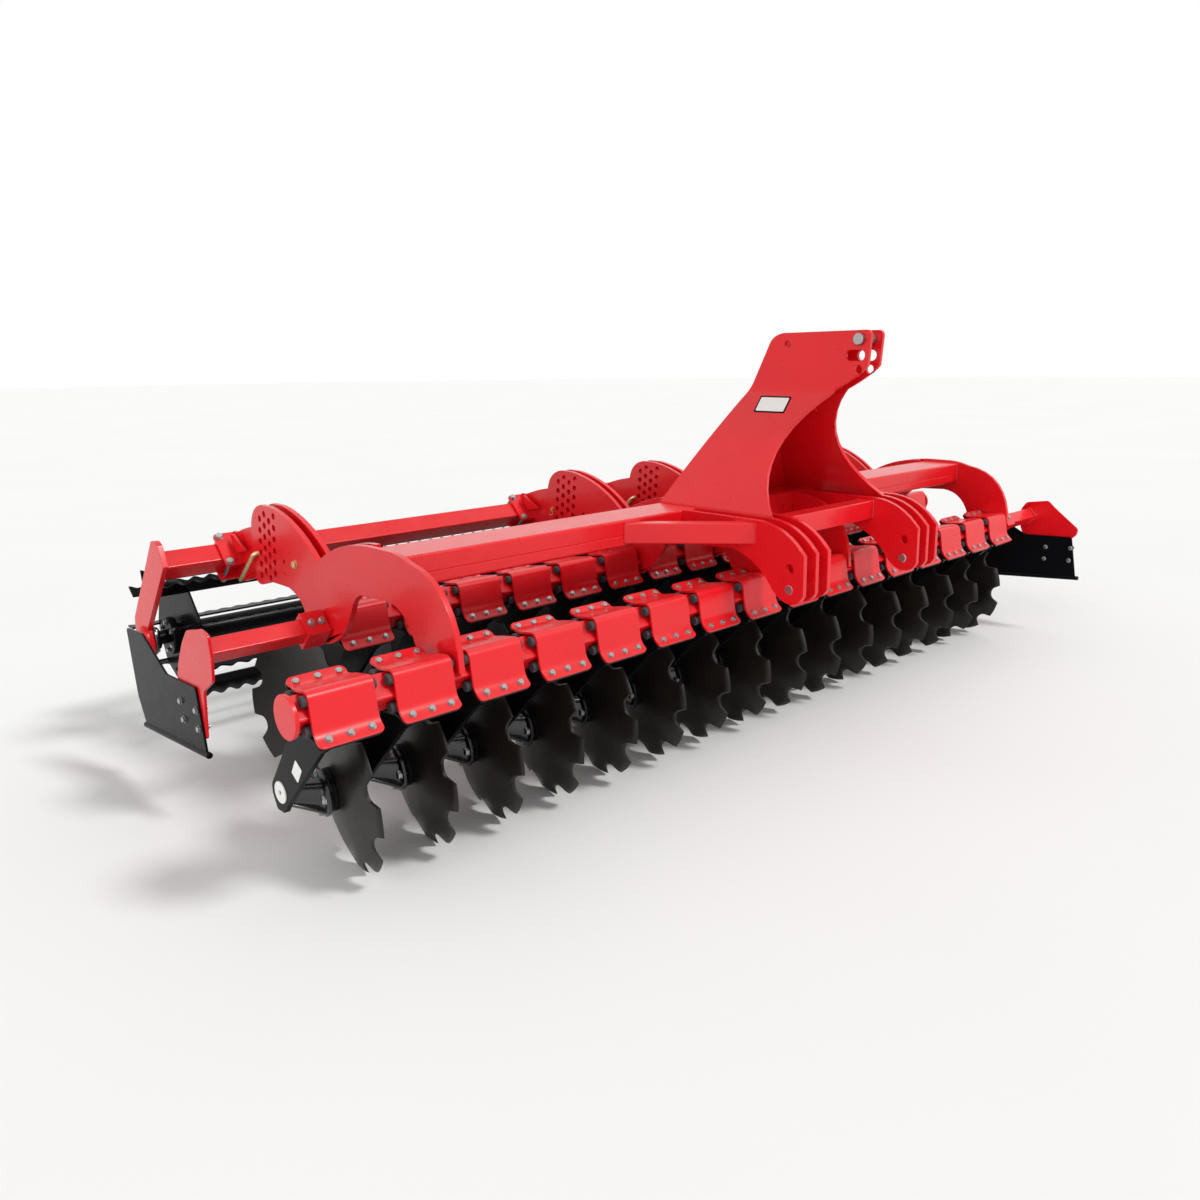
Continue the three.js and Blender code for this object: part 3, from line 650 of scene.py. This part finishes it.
def disc_place(joint):
    """Where a disc sits: its seat on the joint, its hollow side along the joint's axis."""
    axis = Vector(joint["axis"])
    up = (Vector((0, 0, 1)) - axis * axis.z).normalized()
    turn = Matrix((up.cross(axis), up, axis)).transposed().to_4x4()
    return Matrix.Translation(joint["pos_m"]) @ turn @ Matrix.Scale(0.001, 4)


casting_paint = enamel("black-painted cast iron", "090A0C", "131316", "34312E", 0.2, 0.6, 0.3, 0.007,
    0.0022), "black_paint"
white_film = enamel("white vinyl film", "EDECE8", "E4E3DF", "D8D4CC", 0.4, 0.3, 0.0), "label"
disc_joints = {joint["child"]: joint for joint in frame["joints"] if joint["child"].startswith("disc_")}
in_metres = Matrix.Identity(4)
for side, row, y in gangs:
    clamps = clamp_places(side, y)
    arm_places = [clamp @ moved(arm_face + arm_thickness / 2) for clamp in clamps]
    finish(f"{row}_disc_arms", repeated(cut_plate(arm_rim, arm_thickness), arm_places), black)
    spots = [disc_place(joint) for name, joint in disc_joints.items() if f"_{row}_" in name]
    casting, bolts = hub_shape(-147)
    finish(f"{row}_hubs", repeated(casting, spots), casting_paint, place=in_metres)
    finish_bolts(f"{row}_hub_bolts", repeated(bolts, spots), place=in_metres)
    cap = turned([(0, 0), (7, 0), (8, 4), (32, 4), (33, 3), (33, 0), (0, 0)], 28)
    caps = [clamp @ moved(arm_face, 229, 304 - gang_height) @ facing(-1, 0, 0) for clamp in clamps]
    # A blank sticker stands only on the outermost arm, along the arm.
    label = cut_plate(edge_points(rounded(rectangle(27, 20), 4), 2), 0.6, edge=0)
    put(label, clamps[0] @ moved(arm_face - 0.3, 118, 402 - gang_height)
        @ Matrix.Rotation(radians(-57), 4, "X"))
    finish(f"{row}_spindle_caps", joined(repeated(cap, caps), label), white_film)


# -------------------- discs
# Dished discs of 6 mm hardened boron steel, 560 mm across, with nine round notches and an edge
# ground thin on the outside. They are dipped in black paint and bolted to the turning hubs.
disc_radius, disc_depth, disc_thickness = 280, 50, 6
disc_lobes, lobe_radius, notch_half, notch_depth = 9, 274.8, 43, 40
dish_radius = (disc_radius ** 2 + disc_depth ** 2) / (2 * disc_depth)
seat_radius = 72
# The dip runs and pools, which leaves brown and black clouds about 0.1 m across.
disc_steel, disc_shader = clouded("black-dipped boron steel", "120F0D", 0.3, 0, ("0B0A0A", "231C18"), 0.1,
    6.0, rough_range=(0.2, 0.46), relief=(0.01, 0.3, 0.0006))
disc_shader.inputs["Specular IOR Level"].default_value = 0.35


def dish_height(radius):
    return dish_radius - sqrt(dish_radius ** 2 - radius ** 2)


def rim_radius(angle):
    """Radius of the notched rim at an angle; a lobe points straight down."""
    step = tau / disc_lobes
    off = abs((angle + pi / 2) / step % 1 - 0.5) * step
    across = lobe_radius * off / notch_half
    return lobe_radius - (notch_depth * (1 - across ** 2.4) ** 0.5 if across < 1 else 0)


def dish():
    """The disc, its hollow side along Z, from a section spun and then fitted to the notched rim."""
    rings = [0, 0.2, 0.45, 0.7, 0.88, 0.965, 1]
    front = [(seat_radius + share, 0) for share in rings]
    back = [(seat_radius + share, 1) for share in reversed(rings[:-1])]
    section = [(40, 0), *front, *back, (40, 1), (40, 0)]
    shape = turned([(radius, 100 * layer) for radius, layer in section], 252)
    for corner in shape.verts:
        along = Vector((corner.co.x, corner.co.y))
        angle = atan2(along.y, along.x)
        share = along.length - seat_radius
        back_side = corner.co.z > 50
        if share < -1:
            radius, height = 40, dish_height(seat_radius)
        else:
            radius = seat_radius + max(share, 0) * (rim_radius(angle) - seat_radius)
            height = dish_height(radius)
        thin = disc_thickness if share < 0.97 else disc_thickness - 3.5 * (share - 0.9) / 0.1
        if back_side:
            height -= thin if share < 0.99 else 2.5
        corner.co = (radius * cos(angle), radius * sin(angle), height)
    return shape


def turning_hub():
    """The part of the hub that turns: a plate behind the disc and a grease cap in its hollow."""
    seat = dish_height(seat_radius)
    plate = turned([(0, seat - 22), (64, seat - 22), (66, seat - 20), (66, seat - 8), (64, seat - 6.2),
        (0, seat - 6.2)], 28)
    cap = turned([(0, seat + 24), (24, seat + 24), (30, seat + 20), (34, seat + 8), (56, seat + 7),
        (57, seat + 0.2), (0, seat + 0.2)], 28)
    return joined(plate, cap)


dish_mesh = as_mesh(dish(), "dish")
# Every disc stopped where it happened to, so its notches stand at an angle of their own.
rest = random.Random(3077)
for name, joint in disc_joints.items():
    row = name.removeprefix("disc_")
    shape = bmesh.new()
    shape.from_mesh(dish_mesh)
    place = disc_place(joint)
    put(shape, Matrix.Rotation(radians(rest.uniform(-18, 18)), 4, "Z"))
    finish("dished_disc_" + row, shape, (disc_steel, "black_paint"), [name], name, place)
    finish("turning_hub_" + row, turning_hub(), black, (), name, place)
    ring = [turn @ moved(46, 0, dish_height(seat_radius) + 6.5) for turn in spread(6, 0.3)]
    finish_bolts("disc_bolts_" + row, repeated(bolt_head(11), ring), name, place)
bpy.data.meshes.remove(dish_mesh)


# -------------------- lower hitch
# Three plates on each side take the tractor's lower links on a 36 mm pin. A square brace runs
# from the outer plate back to the beam, and a cross tube ties both sides together.
hitch_plate_x = (317, 391, 465)
link_y, link_z, upper_hole_z = -271, 683, 758
hitch_rim = edge_points([(beam_front - touch, beam_top), (-130, beam_top), ((-250, 910), (-331, 811)),
    (-333, 668), ((-315, 631), (-275, 631)), ((-225, 632), (-183, 695)), ((-120, 775), (-16, 800)),
    (beam_front - touch, 786)])


def square_bar(corners, low, high):
    """A square tube lying flat, its outline in (X, Y)."""
    turn = Matrix(((0, 1, 0, 0), (0, 0, 1, 0), (1, 0, 0, (low + high) / 2), (0, 0, 0, 1)))
    bar = put(cut_plate(corners, high - low, edge=0), turn)
    break_edges(bar, 5, segments=3)
    return bar


for side, hand in sides:
    cheek = cut_plate(hitch_rim, plate_thickness, [round_hole(link_y, upper_hole_z, 18)])
    cheeks = repeated(cheek, [moved(side * x) for x in hitch_plate_x])
    outer = hitch_plate_x[2] + plate_thickness / 2
    brace = square_bar([(side * (outer - 4), -118), (side * 800, beam_front - touch),
        (side * 720.7, beam_front - touch), (side * (outer - 4), -30)], 828, 904)
    brace_foot = ((-118, 830), (-118, 903), (-31, 903), (-31, 830))
    welds = [bead(*((side * (outer + 1), y, z) for y, z in brace_foot)),
        bead((side * 722, beam_front - 2, 905), (side * 799, beam_front - 2, 905))]
    for x in hitch_plate_x:
        for edge in (side * x - 10, side * x + 10):
            welds.append(bead((edge, beam_front - 2, 792), (edge, beam_front - 2, 912)))
    finish("lower_hitch_" + hand, joined(cheeks, brace, *welds), red, ["hitch_" + hand])
    pin = turned([(0, -89), (15, -89), (18, -86), (18, 83), (16, 85), (0, 85)], 28)
    put(pin, moved(side * 391, link_y, link_z) @ along_x @ Matrix.Diagonal((1, 1, side, 1)))
    finish("link_pin_" + hand, pin, zinc)
cross_half = hitch_plate_x[0] - plate_thickness / 2 - touch
cross_tube = square_bar([(-cross_half, -125), (cross_half, -125), (cross_half, -49), (-cross_half, -49)],
    829, 905)
cross_rim = ((-126, 833), (-126, 901), (-121, 906), (-53, 906), (-48, 901), (-48, 833))
welds = [bead(*((x, y, z) for y, z in cross_rim)) for x in (1 - cross_half, cross_half - 1)]
finish("cross_tube", joined(cross_tube, *welds), red, ["hitch_cross_tube"])


# -------------------- headstock
# Two folded 15 mm plates rise from the beam to the top link's holes and slot. A window plate
# leans between their rear edges and a curved tie joins them under the fold. All is welded.
fold_z, fold_half, foot_half = 1360, 40, 385
fold_at = hypot(fold_z - beam_top, foot_half - fold_half)


def down(z):
    """Distance down the splayed part, from the fold to a height."""
    return (z - fold_z) * fold_at / (fold_z - beam_top) + fold_at


blank_rim = edge_points([(-125, down(917) + 0.5), (430, down(917) + 0.5),
    ((345, down(1180)), (252, down(1360))), (166, fold_at + 172),
    ((150, fold_at + 209), (99, fold_at + 215)), (-266, fold_at + 219),
    ((-287, fold_at + 219), (-288, fold_at + 198)), (-280, fold_at + 92),
    ((-262, fold_at + 65), (-144, fold_at)), ((120, down(1141)), (-125, down(917) + 0.5))], 10)[:-1]
fold_saving = 2
link_holes = [round_hole(y, fold_at + z - fold_z - fold_saving, radius, length) for y, z, radius, length
    in ((-244, 1548, 21, 0), (-225, 1490, 20, 41), (-240, 1440, 16, 0), (78, 1533, 14, 0))]
swap_to_side = Matrix(((0, 1, 0, 0), (1, 0, 0, 0), (0, 0, 1, 0), (0, 0, 0, 1)))
for side, hand in sides:
    cheek = cut_plate(blank_rim, 15, link_holes)
    path = edge_points(rounded([(foot_half, beam_top), (fold_half, fold_z), (fold_half, 1590)], 26,
        closed=False), 7)
    bend(cheek, path)
    put(cheek, Matrix.Diagonal((side, 1, 1, 1)) @ swap_to_side)
    foot_welds = [bead((side * x, -120, beam_top + 2), (side * x, 425, beam_top + 2))
        for x in (foot_half - 8, foot_half + 8)]
    finish("headstock_cheek_" + hand, joined(cheek, *foot_welds), red, ["headstock_" + hand])
pin = turned([(0, -66), (19, -66), (21, -64), (21, 64), (19, 66), (0, 66)], 28)
finish("top_link_pin", put(pin, moved(0, -244, 1548) @ along_x), zinc)
# The rating plate is a blank aluminium label with a dark printed border.
plate_z = 1300
plate_x = fold_half + (fold_z - plate_z) * (foot_half - fold_half) / (fold_z - beam_top)
label_lean = atan2(foot_half - fold_half, fold_z - beam_top)
for name, half_y, half_z, lift, look in (("rating_plate_border", 74, 39, 8.1, black),
        ("rating_plate", 67, 32, 8.7, white_film)):
    label = cut_plate(edge_points(rounded(rectangle(half_y, half_z), 5), 3), 0.8, edge=0)
    put(label, moved(-plate_x, 108, plate_z) @ Matrix.Rotation(label_lean, 4, "Y") @ moved(-lift))
    finish(name, label, look)


def room_at(z):
    """Half the room between the splayed cheeks at a height."""
    return fold_half - 15 + (fold_z - z) * (foot_half - fold_half) / (fold_z - beam_top)


lean = atan(170 / 423)
up = lambda z: (z - beam_top) / cos(lean)
across = Matrix.Rotation(-pi / 2, 4, "Z")
window_rim = [Vector((x, up(z))) for x, z in [(-room_at(918), 918), (room_at(918), 918),
    (room_at(1330), 1330), (-room_at(1330), 1330)]]
window = edge_points(rounded([(-85, up(1085)), (85, up(1085)), (85, up(1190)), (-85, up(1190))], 14), 4)
back_plate = put(cut_plate(window_rim, 12, [window]),
    moved(0, 369, beam_top) @ Matrix.Rotation(lean, 4, "X") @ across)
finish("headstock_window_plate", back_plate, red, ["headstock_back"])
tie_rim = edge_points([(-room_at(1262), 1262), ((0, 1322), (room_at(1262), 1262)),
    (room_at(1340), 1340), (-room_at(1340), 1340)], 14)
tie = put(cut_plate(tie_rim, 12), moved(0, 24) @ across)
finish("headstock_tie_plate", tie, red, ["headstock_tie"])


# -------------------- deflectors
# A square arm slides in each gang tube's open end and carries a red bracket. The black sheet
# bolted beside it stops the last disc from throwing soil sideways; a bar stiffens its foot.
deflector_x = 2160
sheet_corners = [(766, 253), (805, 473), (1058, 460), (1252, 564), (1411, 554), (1372, 307), (1315, 205)]
right_bracket = [(733, 681), (678, 672), (667, 590), (676, 520), (757, 470), (776, 300), (955, 320),
    (972, 471), (950, 524), (903, 598), (849, 655)]
left_bracket = [(48, 640), (20, 683), (-97, 702), (-136, 667), (-268, 564), (-264, 532), (-236, 505),
    (-228, 330), (-100, 330), (0, 440), (48, 560)]
right_spots = [(941, 395), (812, 395), (928, 333), (804, 333)]
left_spots = [(-111, 448), (-243, 458), (-108, 382), (-240, 390)]


def weld_round(x, y, z, reach):
    """A weld bead round a tube that stands on one edge."""
    ring = diamond(y, z, reach)
    return bead(*((x, *corner) for corner in ring + ring[:1]))


for side, hand, y, shift, corners, spots in (
        (-1, "right", row_pitch, (0, 0), right_bracket, right_spots),
        (1, "left", 0, (-1048, 45), left_bracket, left_spots)):
    arm = put(square_tube(62, 6, gang_short_end - 120, deflector_x - 3, corner=6), on_gang(side, y))
    collar = put(square_tube(92, 6, gang_short_end - 80, gang_short_end, corner=6), on_gang(side, y))
    bracket = put(cut_plate(edge_points(rounded(corners, 12), 4), 10), moved(side * deflector_x))
    weld = weld_round(side * (deflector_x - 6), y, gang_height, 45)
    finish("deflector_arm_" + hand, joined(arm, bracket, collar, weld), red)
    sheet_x = side * deflector_x - 9
    sheet_rim = [(at + shift[0], z + shift[1]) for at, z in sheet_corners]
    sheet = put(cut_plate(edge_points(rounded(sheet_rim, 14), 4), 8), moved(sheet_x))
    foot, heel = Vector(sheet_rim[0]), Vector(sheet_rim[-1])
    lip_end = (heel - foot).length + 15
    lip = turned([(0, -15), (9, -15), (11, -13), (11, lip_end - 2), (9, lip_end), (0, lip_end)], 16)
    put(lip, moved(sheet_x, foot.x, foot.y) @ facing(0, heel.x - foot.x, heel.y - foot.y))
    finish("deflector_sheet_" + hand, joined(sheet, lip), black, ["deflector_" + hand])
    places = [moved(sheet_x - 4, at, z) @ facing(-1, 0, 0) for at, z in spots]
    ends = [moved(side * deflector_x + 5, at, z) @ facing(1, 0, 0) for at, z in spots]
    socket = [moved(side * x, y - 32.5, gang_height + 32.5) @ facing(0, -1, 1)
        for x in (gang_short_end - 25, gang_short_end - 62)]
    bolts = joined(repeated(bolt_head(12), places), repeated(bolt_end(12), ends),
        repeated(bolt_head(13), socket))
    finish_bolts("deflector_bolts_" + hand, bolts)


# -------------------- roller
# A cage roller 550 mm across: nine toothed flat bars are welded to a full plate at each end and
# to three stars between, all on a tube with a flange at each end for the bearing's stub shaft.
roller_y, roller_z = 1640, 430
roller_radius, roller_bars, roller_half = 275, 9, 2012
roller_rod, roller_flange_x, roller_shaft = 45, 1940, 28
tooth_pitch, tooth_depth, bar_depth = 66, 15, 55
bar_seat, seat_angle = 232, 0.087  # where the plates end under a bar


def toothed_bar():
    """One bar: a flat strip with a waved outer edge, its rim in (along, outward)."""
    count = round(2 * roller_half / tooth_pitch)
    waves = []
    for i in range(8 * count + 1):
        along = -roller_half + i * 2 * roller_half / (8 * count)
        wave = 0.5 + 0.5 * cos(tau * i / 8)
        waves.append(Vector((along, roller_radius - 1 - tooth_depth * (1 - wave))))
    inner = roller_radius - bar_depth
    return cut_plate([*waves, Vector((roller_half, inner)), Vector((-roller_half, inner))], 8, edge=0)


def polar(radius, angle):
    return Vector((radius * cos(angle), radius * sin(angle)))


step = tau / roller_bars
star_rim, full_rim = [], []
for i in range(roller_bars):
    for off, reach in ((-seat_angle, bar_seat), (seat_angle, bar_seat), (0.14, 150), (step / 2, 66),
            (step - 0.14, 150)):
        star_rim.append(polar(reach, step * i + off))
    full_rim += [polar(bar_seat, step * i + off) for off in (-seat_angle, seat_angle)]
star = cut_plate(edge_points(rounded(star_rim, 7), 3), 8, edge=1)
stars = repeated(star, [moved(x) for x in (-950, 0, 950)])
ends = repeated(cut_plate(full_rim, 8, edge=1), [moved(-1900), moved(1900)])
bars = repeated(toothed_bar(), [Matrix.Rotation(step * i - pi / 2, 4, "X") @ swap_to_side
    for i in range(roller_bars)])
roller_place = drawing @ moved(0, roller_y, roller_z)
flange_in, flange_out = roller_flange_x - 15, roller_flange_x + 15
half = [(0, roller_half + 4), (roller_shaft, roller_half + 4), (roller_shaft, flange_out), (73, flange_out),
    (75, flange_out - 2), (75, flange_in + 2), (73, flange_in), (roller_rod, flange_in)]
core = turned([*half, *((radius, -x) for radius, x in reversed(half))], 32)
put(core, along_x)
finish("cage_roller", joined(stars, ends, bars, core), black, ["roller"], "roller", roller_place)
flange_bolts = [moved(side * flange_out) @ Matrix.Rotation(pi / 3 * i, 4, "X") @ moved(0, 0, 56)
    @ facing(side, 0, 0) for side in (-1, 1) for i in range(6)]
finish_bolts("roller_flange_bolts", repeated(bolt_head(11), flange_bolts), "roller", roller_place)


# -------------------- roller frame
# A square tube on its edge joins both end plates with the roller's bearings. Four arms clamp
# round it, reach forward between the quadrants and turn on their pivot pins.
tube_y, tube_z = 1450, 752
roller_end_x = 2030
end_rim = edge_points([(1385, 838), ((1415, 862), (1452, 848)), (1730, 510), ((1765, 375), (1650, 345)),
    ((1590, 350), (1585, 430)), (1604, 476), (1352, 764)])
roller_arm_rim = edge_points([(pivot_y, pivot_z - 55),
    ((pivot_y - 55, pivot_z - 55), (pivot_y - 55, pivot_z)),
    ((pivot_y - 55, pivot_z + 55), (pivot_y, pivot_z + 55)), ((1090, 925), (1230, 893)),
    ((1330, 880), (tube_y - 30, tube_z + 95)), (tube_y + 8, tube_z + 95),
    (tube_y + 8, tube_z + opening_reach - 8),
    (tube_y, tube_z + opening_reach), (tube_y - opening_reach, tube_z),
    (tube_y, tube_z - opening_reach), (tube_y + 8, tube_z - opening_reach + 8),
    (tube_y + 8, tube_z - 95), (tube_y - 60, tube_z - 95),
    ((1230, 705), (pivot_y, pivot_z - 55))])[:-1]
tube_half = roller_end_x - plate_thickness / 2 - touch
tube = put(square_tube(gang_tube_side, 6, -tube_half, tube_half), moved(0, tube_y, tube_z))
finish("roller_frame_tube", tube, red, ["roller_beam"], "roller_frame")
for side, hand in sides:
    end = put(cut_plate(end_rim, plate_thickness), moved(side * roller_end_x))
    weld = weld_round(side * (roller_end_x - 12), tube_y, tube_z, 57)
    finish("roller_end_plate_" + hand, joined(end, weld), red, ["roller_end_" + hand],
        "roller_frame")
    # Flange bearing: a round housing on the inside, its red boss on the outside.
    inward = moved(side * roller_end_x, roller_y, roller_z) @ along_x @ Matrix.Diagonal((1, 1, -side, 1))
    housing = turned([(31, 10.5), (62, 10.5), (64, 13), (64, 20), (48, 24), (44, 38), (42, 40), (31, 40),
        (31, 10.5)], 32)
    finish("roller_bearing_" + hand, put(housing, inward), casting_paint, body="roller_frame")
    boss = turned([(0, -9), (58, -9), (58, -20), (54, -27), (44, -31), (20, -33), (0, -33)], 32)
    finish("roller_boss_" + hand, put(boss, inward), red, body="roller_frame")
    spots = [inward @ turn @ moved(54, 0, 20) for turn in spread(4, pi / 4)]
    finish_bolts("roller_bearing_bolts_" + hand, repeated(bolt_head(10), spots), "roller_frame")


# -------------------- roller arms
# Each arm is a 16 mm plate with a clamp slab welded across its end. Four long bolts pull the
# slab and a lower bracket together round the frame tube; a small gusset stands on the arm.
arm_width = 16
slab_lift = gang_tube_side / 2 + 7
lay_flat = Matrix.Rotation(-pi / 2, 4, "Y")
slab_rim = edge_points(rounded(rectangle(75, 85), 14), 4)
gusset_rim = edge_points(rounded([(-150, 40), (-68, 24), (-22, 84), (-40, 92)], 8), 3)
for side, hand in sides:
    for name, x in (("roller_arm", side_plate_x - quadrant_gap / 2),
            ("roller_inner_arm", inner_plate_x + quadrant_gap / 2)):
        arm = put(cut_plate(roller_arm_rim, arm_width, edge=2), moved(side * x))
        on_tube = moved(side * x, tube_y, tube_z) @ facing(0, -1, 1)
        slab_places = [on_tube @ moved(z=lift) @ lay_flat for lift in (slab_lift, -slab_lift)]
        slabs = repeated(cut_plate(slab_rim, 12), slab_places)
        gusset = put(cut_plate(gusset_rim, 10, edge=1), moved(side * (x + 28), tube_y, tube_z))
        finish(f"{name}_plate_{hand}", joined(arm, slabs, gusset), red, [f"{name}_{hand}"],
            "roller_frame")
        spots = [on_tube @ moved(across, along) for across in (-66, 66) for along in (-60, 60)]
        heads = repeated(bolt_head(15), [spot @ moved(z=slab_lift + 6) for spot in spots])
        nuts = repeated(bolt_end(15), [spot @ moved(z=-slab_lift - 6) @ half_turn for spot in spots])
        shank = turned([(0, -slab_lift), (7, -slab_lift), (7, slab_lift), (0, slab_lift)], 12)
        finish_bolts(f"{name}_bolts_{hand}", joined(heads, nuts, repeated(shank, spots)), "roller_frame")


# -------------------- pivot and depth pins
# Each arm turns on a bolt through its pair of quadrant plates and rests on a bent 17 mm depth
# pin, plated yellow, whose handle hangs down outside and is held by a spring clip. The pin
# is drawn in both plates and left out between them, where the arm swings.
# The passivation drifts from straw to rainbow brown in bands about 12 mm wide.
yellow_zinc = clouded("yellow-passivated zinc", "D8BC84", 0.3, 0.9, ("E8D6A4", "CDAF7C"), 0.012,
    2.0)[0], "yellow_zinc"


def bent_rod(corners, radius, bend_radius, steps=12):
    """A round rod bent through the corners."""
    corners = [Vector(corner) for corner in corners]
    line = edge_points(rounded(corners, bend_radius, closed=False), 5)
    rod = bmesh.new()
    rings = []
    for i, point in enumerate(line):
        run = (line[min(i + 1, len(line) - 1)] - line[max(i - 1, 0)]).normalized()
        across = run.cross(Vector((0, 0.3, 1))).normalized()
        over = run.cross(across)
        angles = [tau * k / steps for k in range(steps)]
        circle = [radius * (across * cos(a) + over * sin(a)) for a in angles]
        rings.append([rod.verts.new(point + spot) for spot in circle])
    skin(rod, rings)
    return rod


pin_y, pin_z = 1190, 800
for side, hand in sides:
    for place, outer, inner in (("side", side_plate_x + 10, side_plate_x - quadrant_gap - 10),
            ("inner", inner_plate_x - 10, inner_plate_x + quadrant_gap + 10)):
        way = side if outer > inner else -side
        start, stop = side * inner - way * 14, side * outer + way * 16
        handle = bent_rod([(stop - way * 33, pin_y, pin_z), (stop, pin_y, pin_z),
            (stop, pin_y + 140, pin_z - 122)], 8.5, 22)
        tip = bent_rod([(start, pin_y, pin_z), (start + way * 31, pin_y, pin_z)], 8.5, 3)
        clip = bent_rod([(start + way * 5, pin_y + back, pin_z + rise)
            for back, rise in ((0, 15), (-4, -24), (18, -30), (11, 4))], 1.6, 6, 6)
        finish(f"{place}_depth_pin_{hand}", joined(handle, tip, clip), yellow_zinc)
        heads = repeated(bolt_head(15), [moved(side * outer, pivot_y, pivot_z) @ facing(way, 0, 0)])
        nuts = repeated(bolt_end(15), [moved(side * inner, pivot_y, pivot_z) @ facing(-way, 0, 0)])
        finish_bolts(f"{place}_pivot_bolt_{hand}", joined(heads, nuts), look=yellow_zinc)


import json
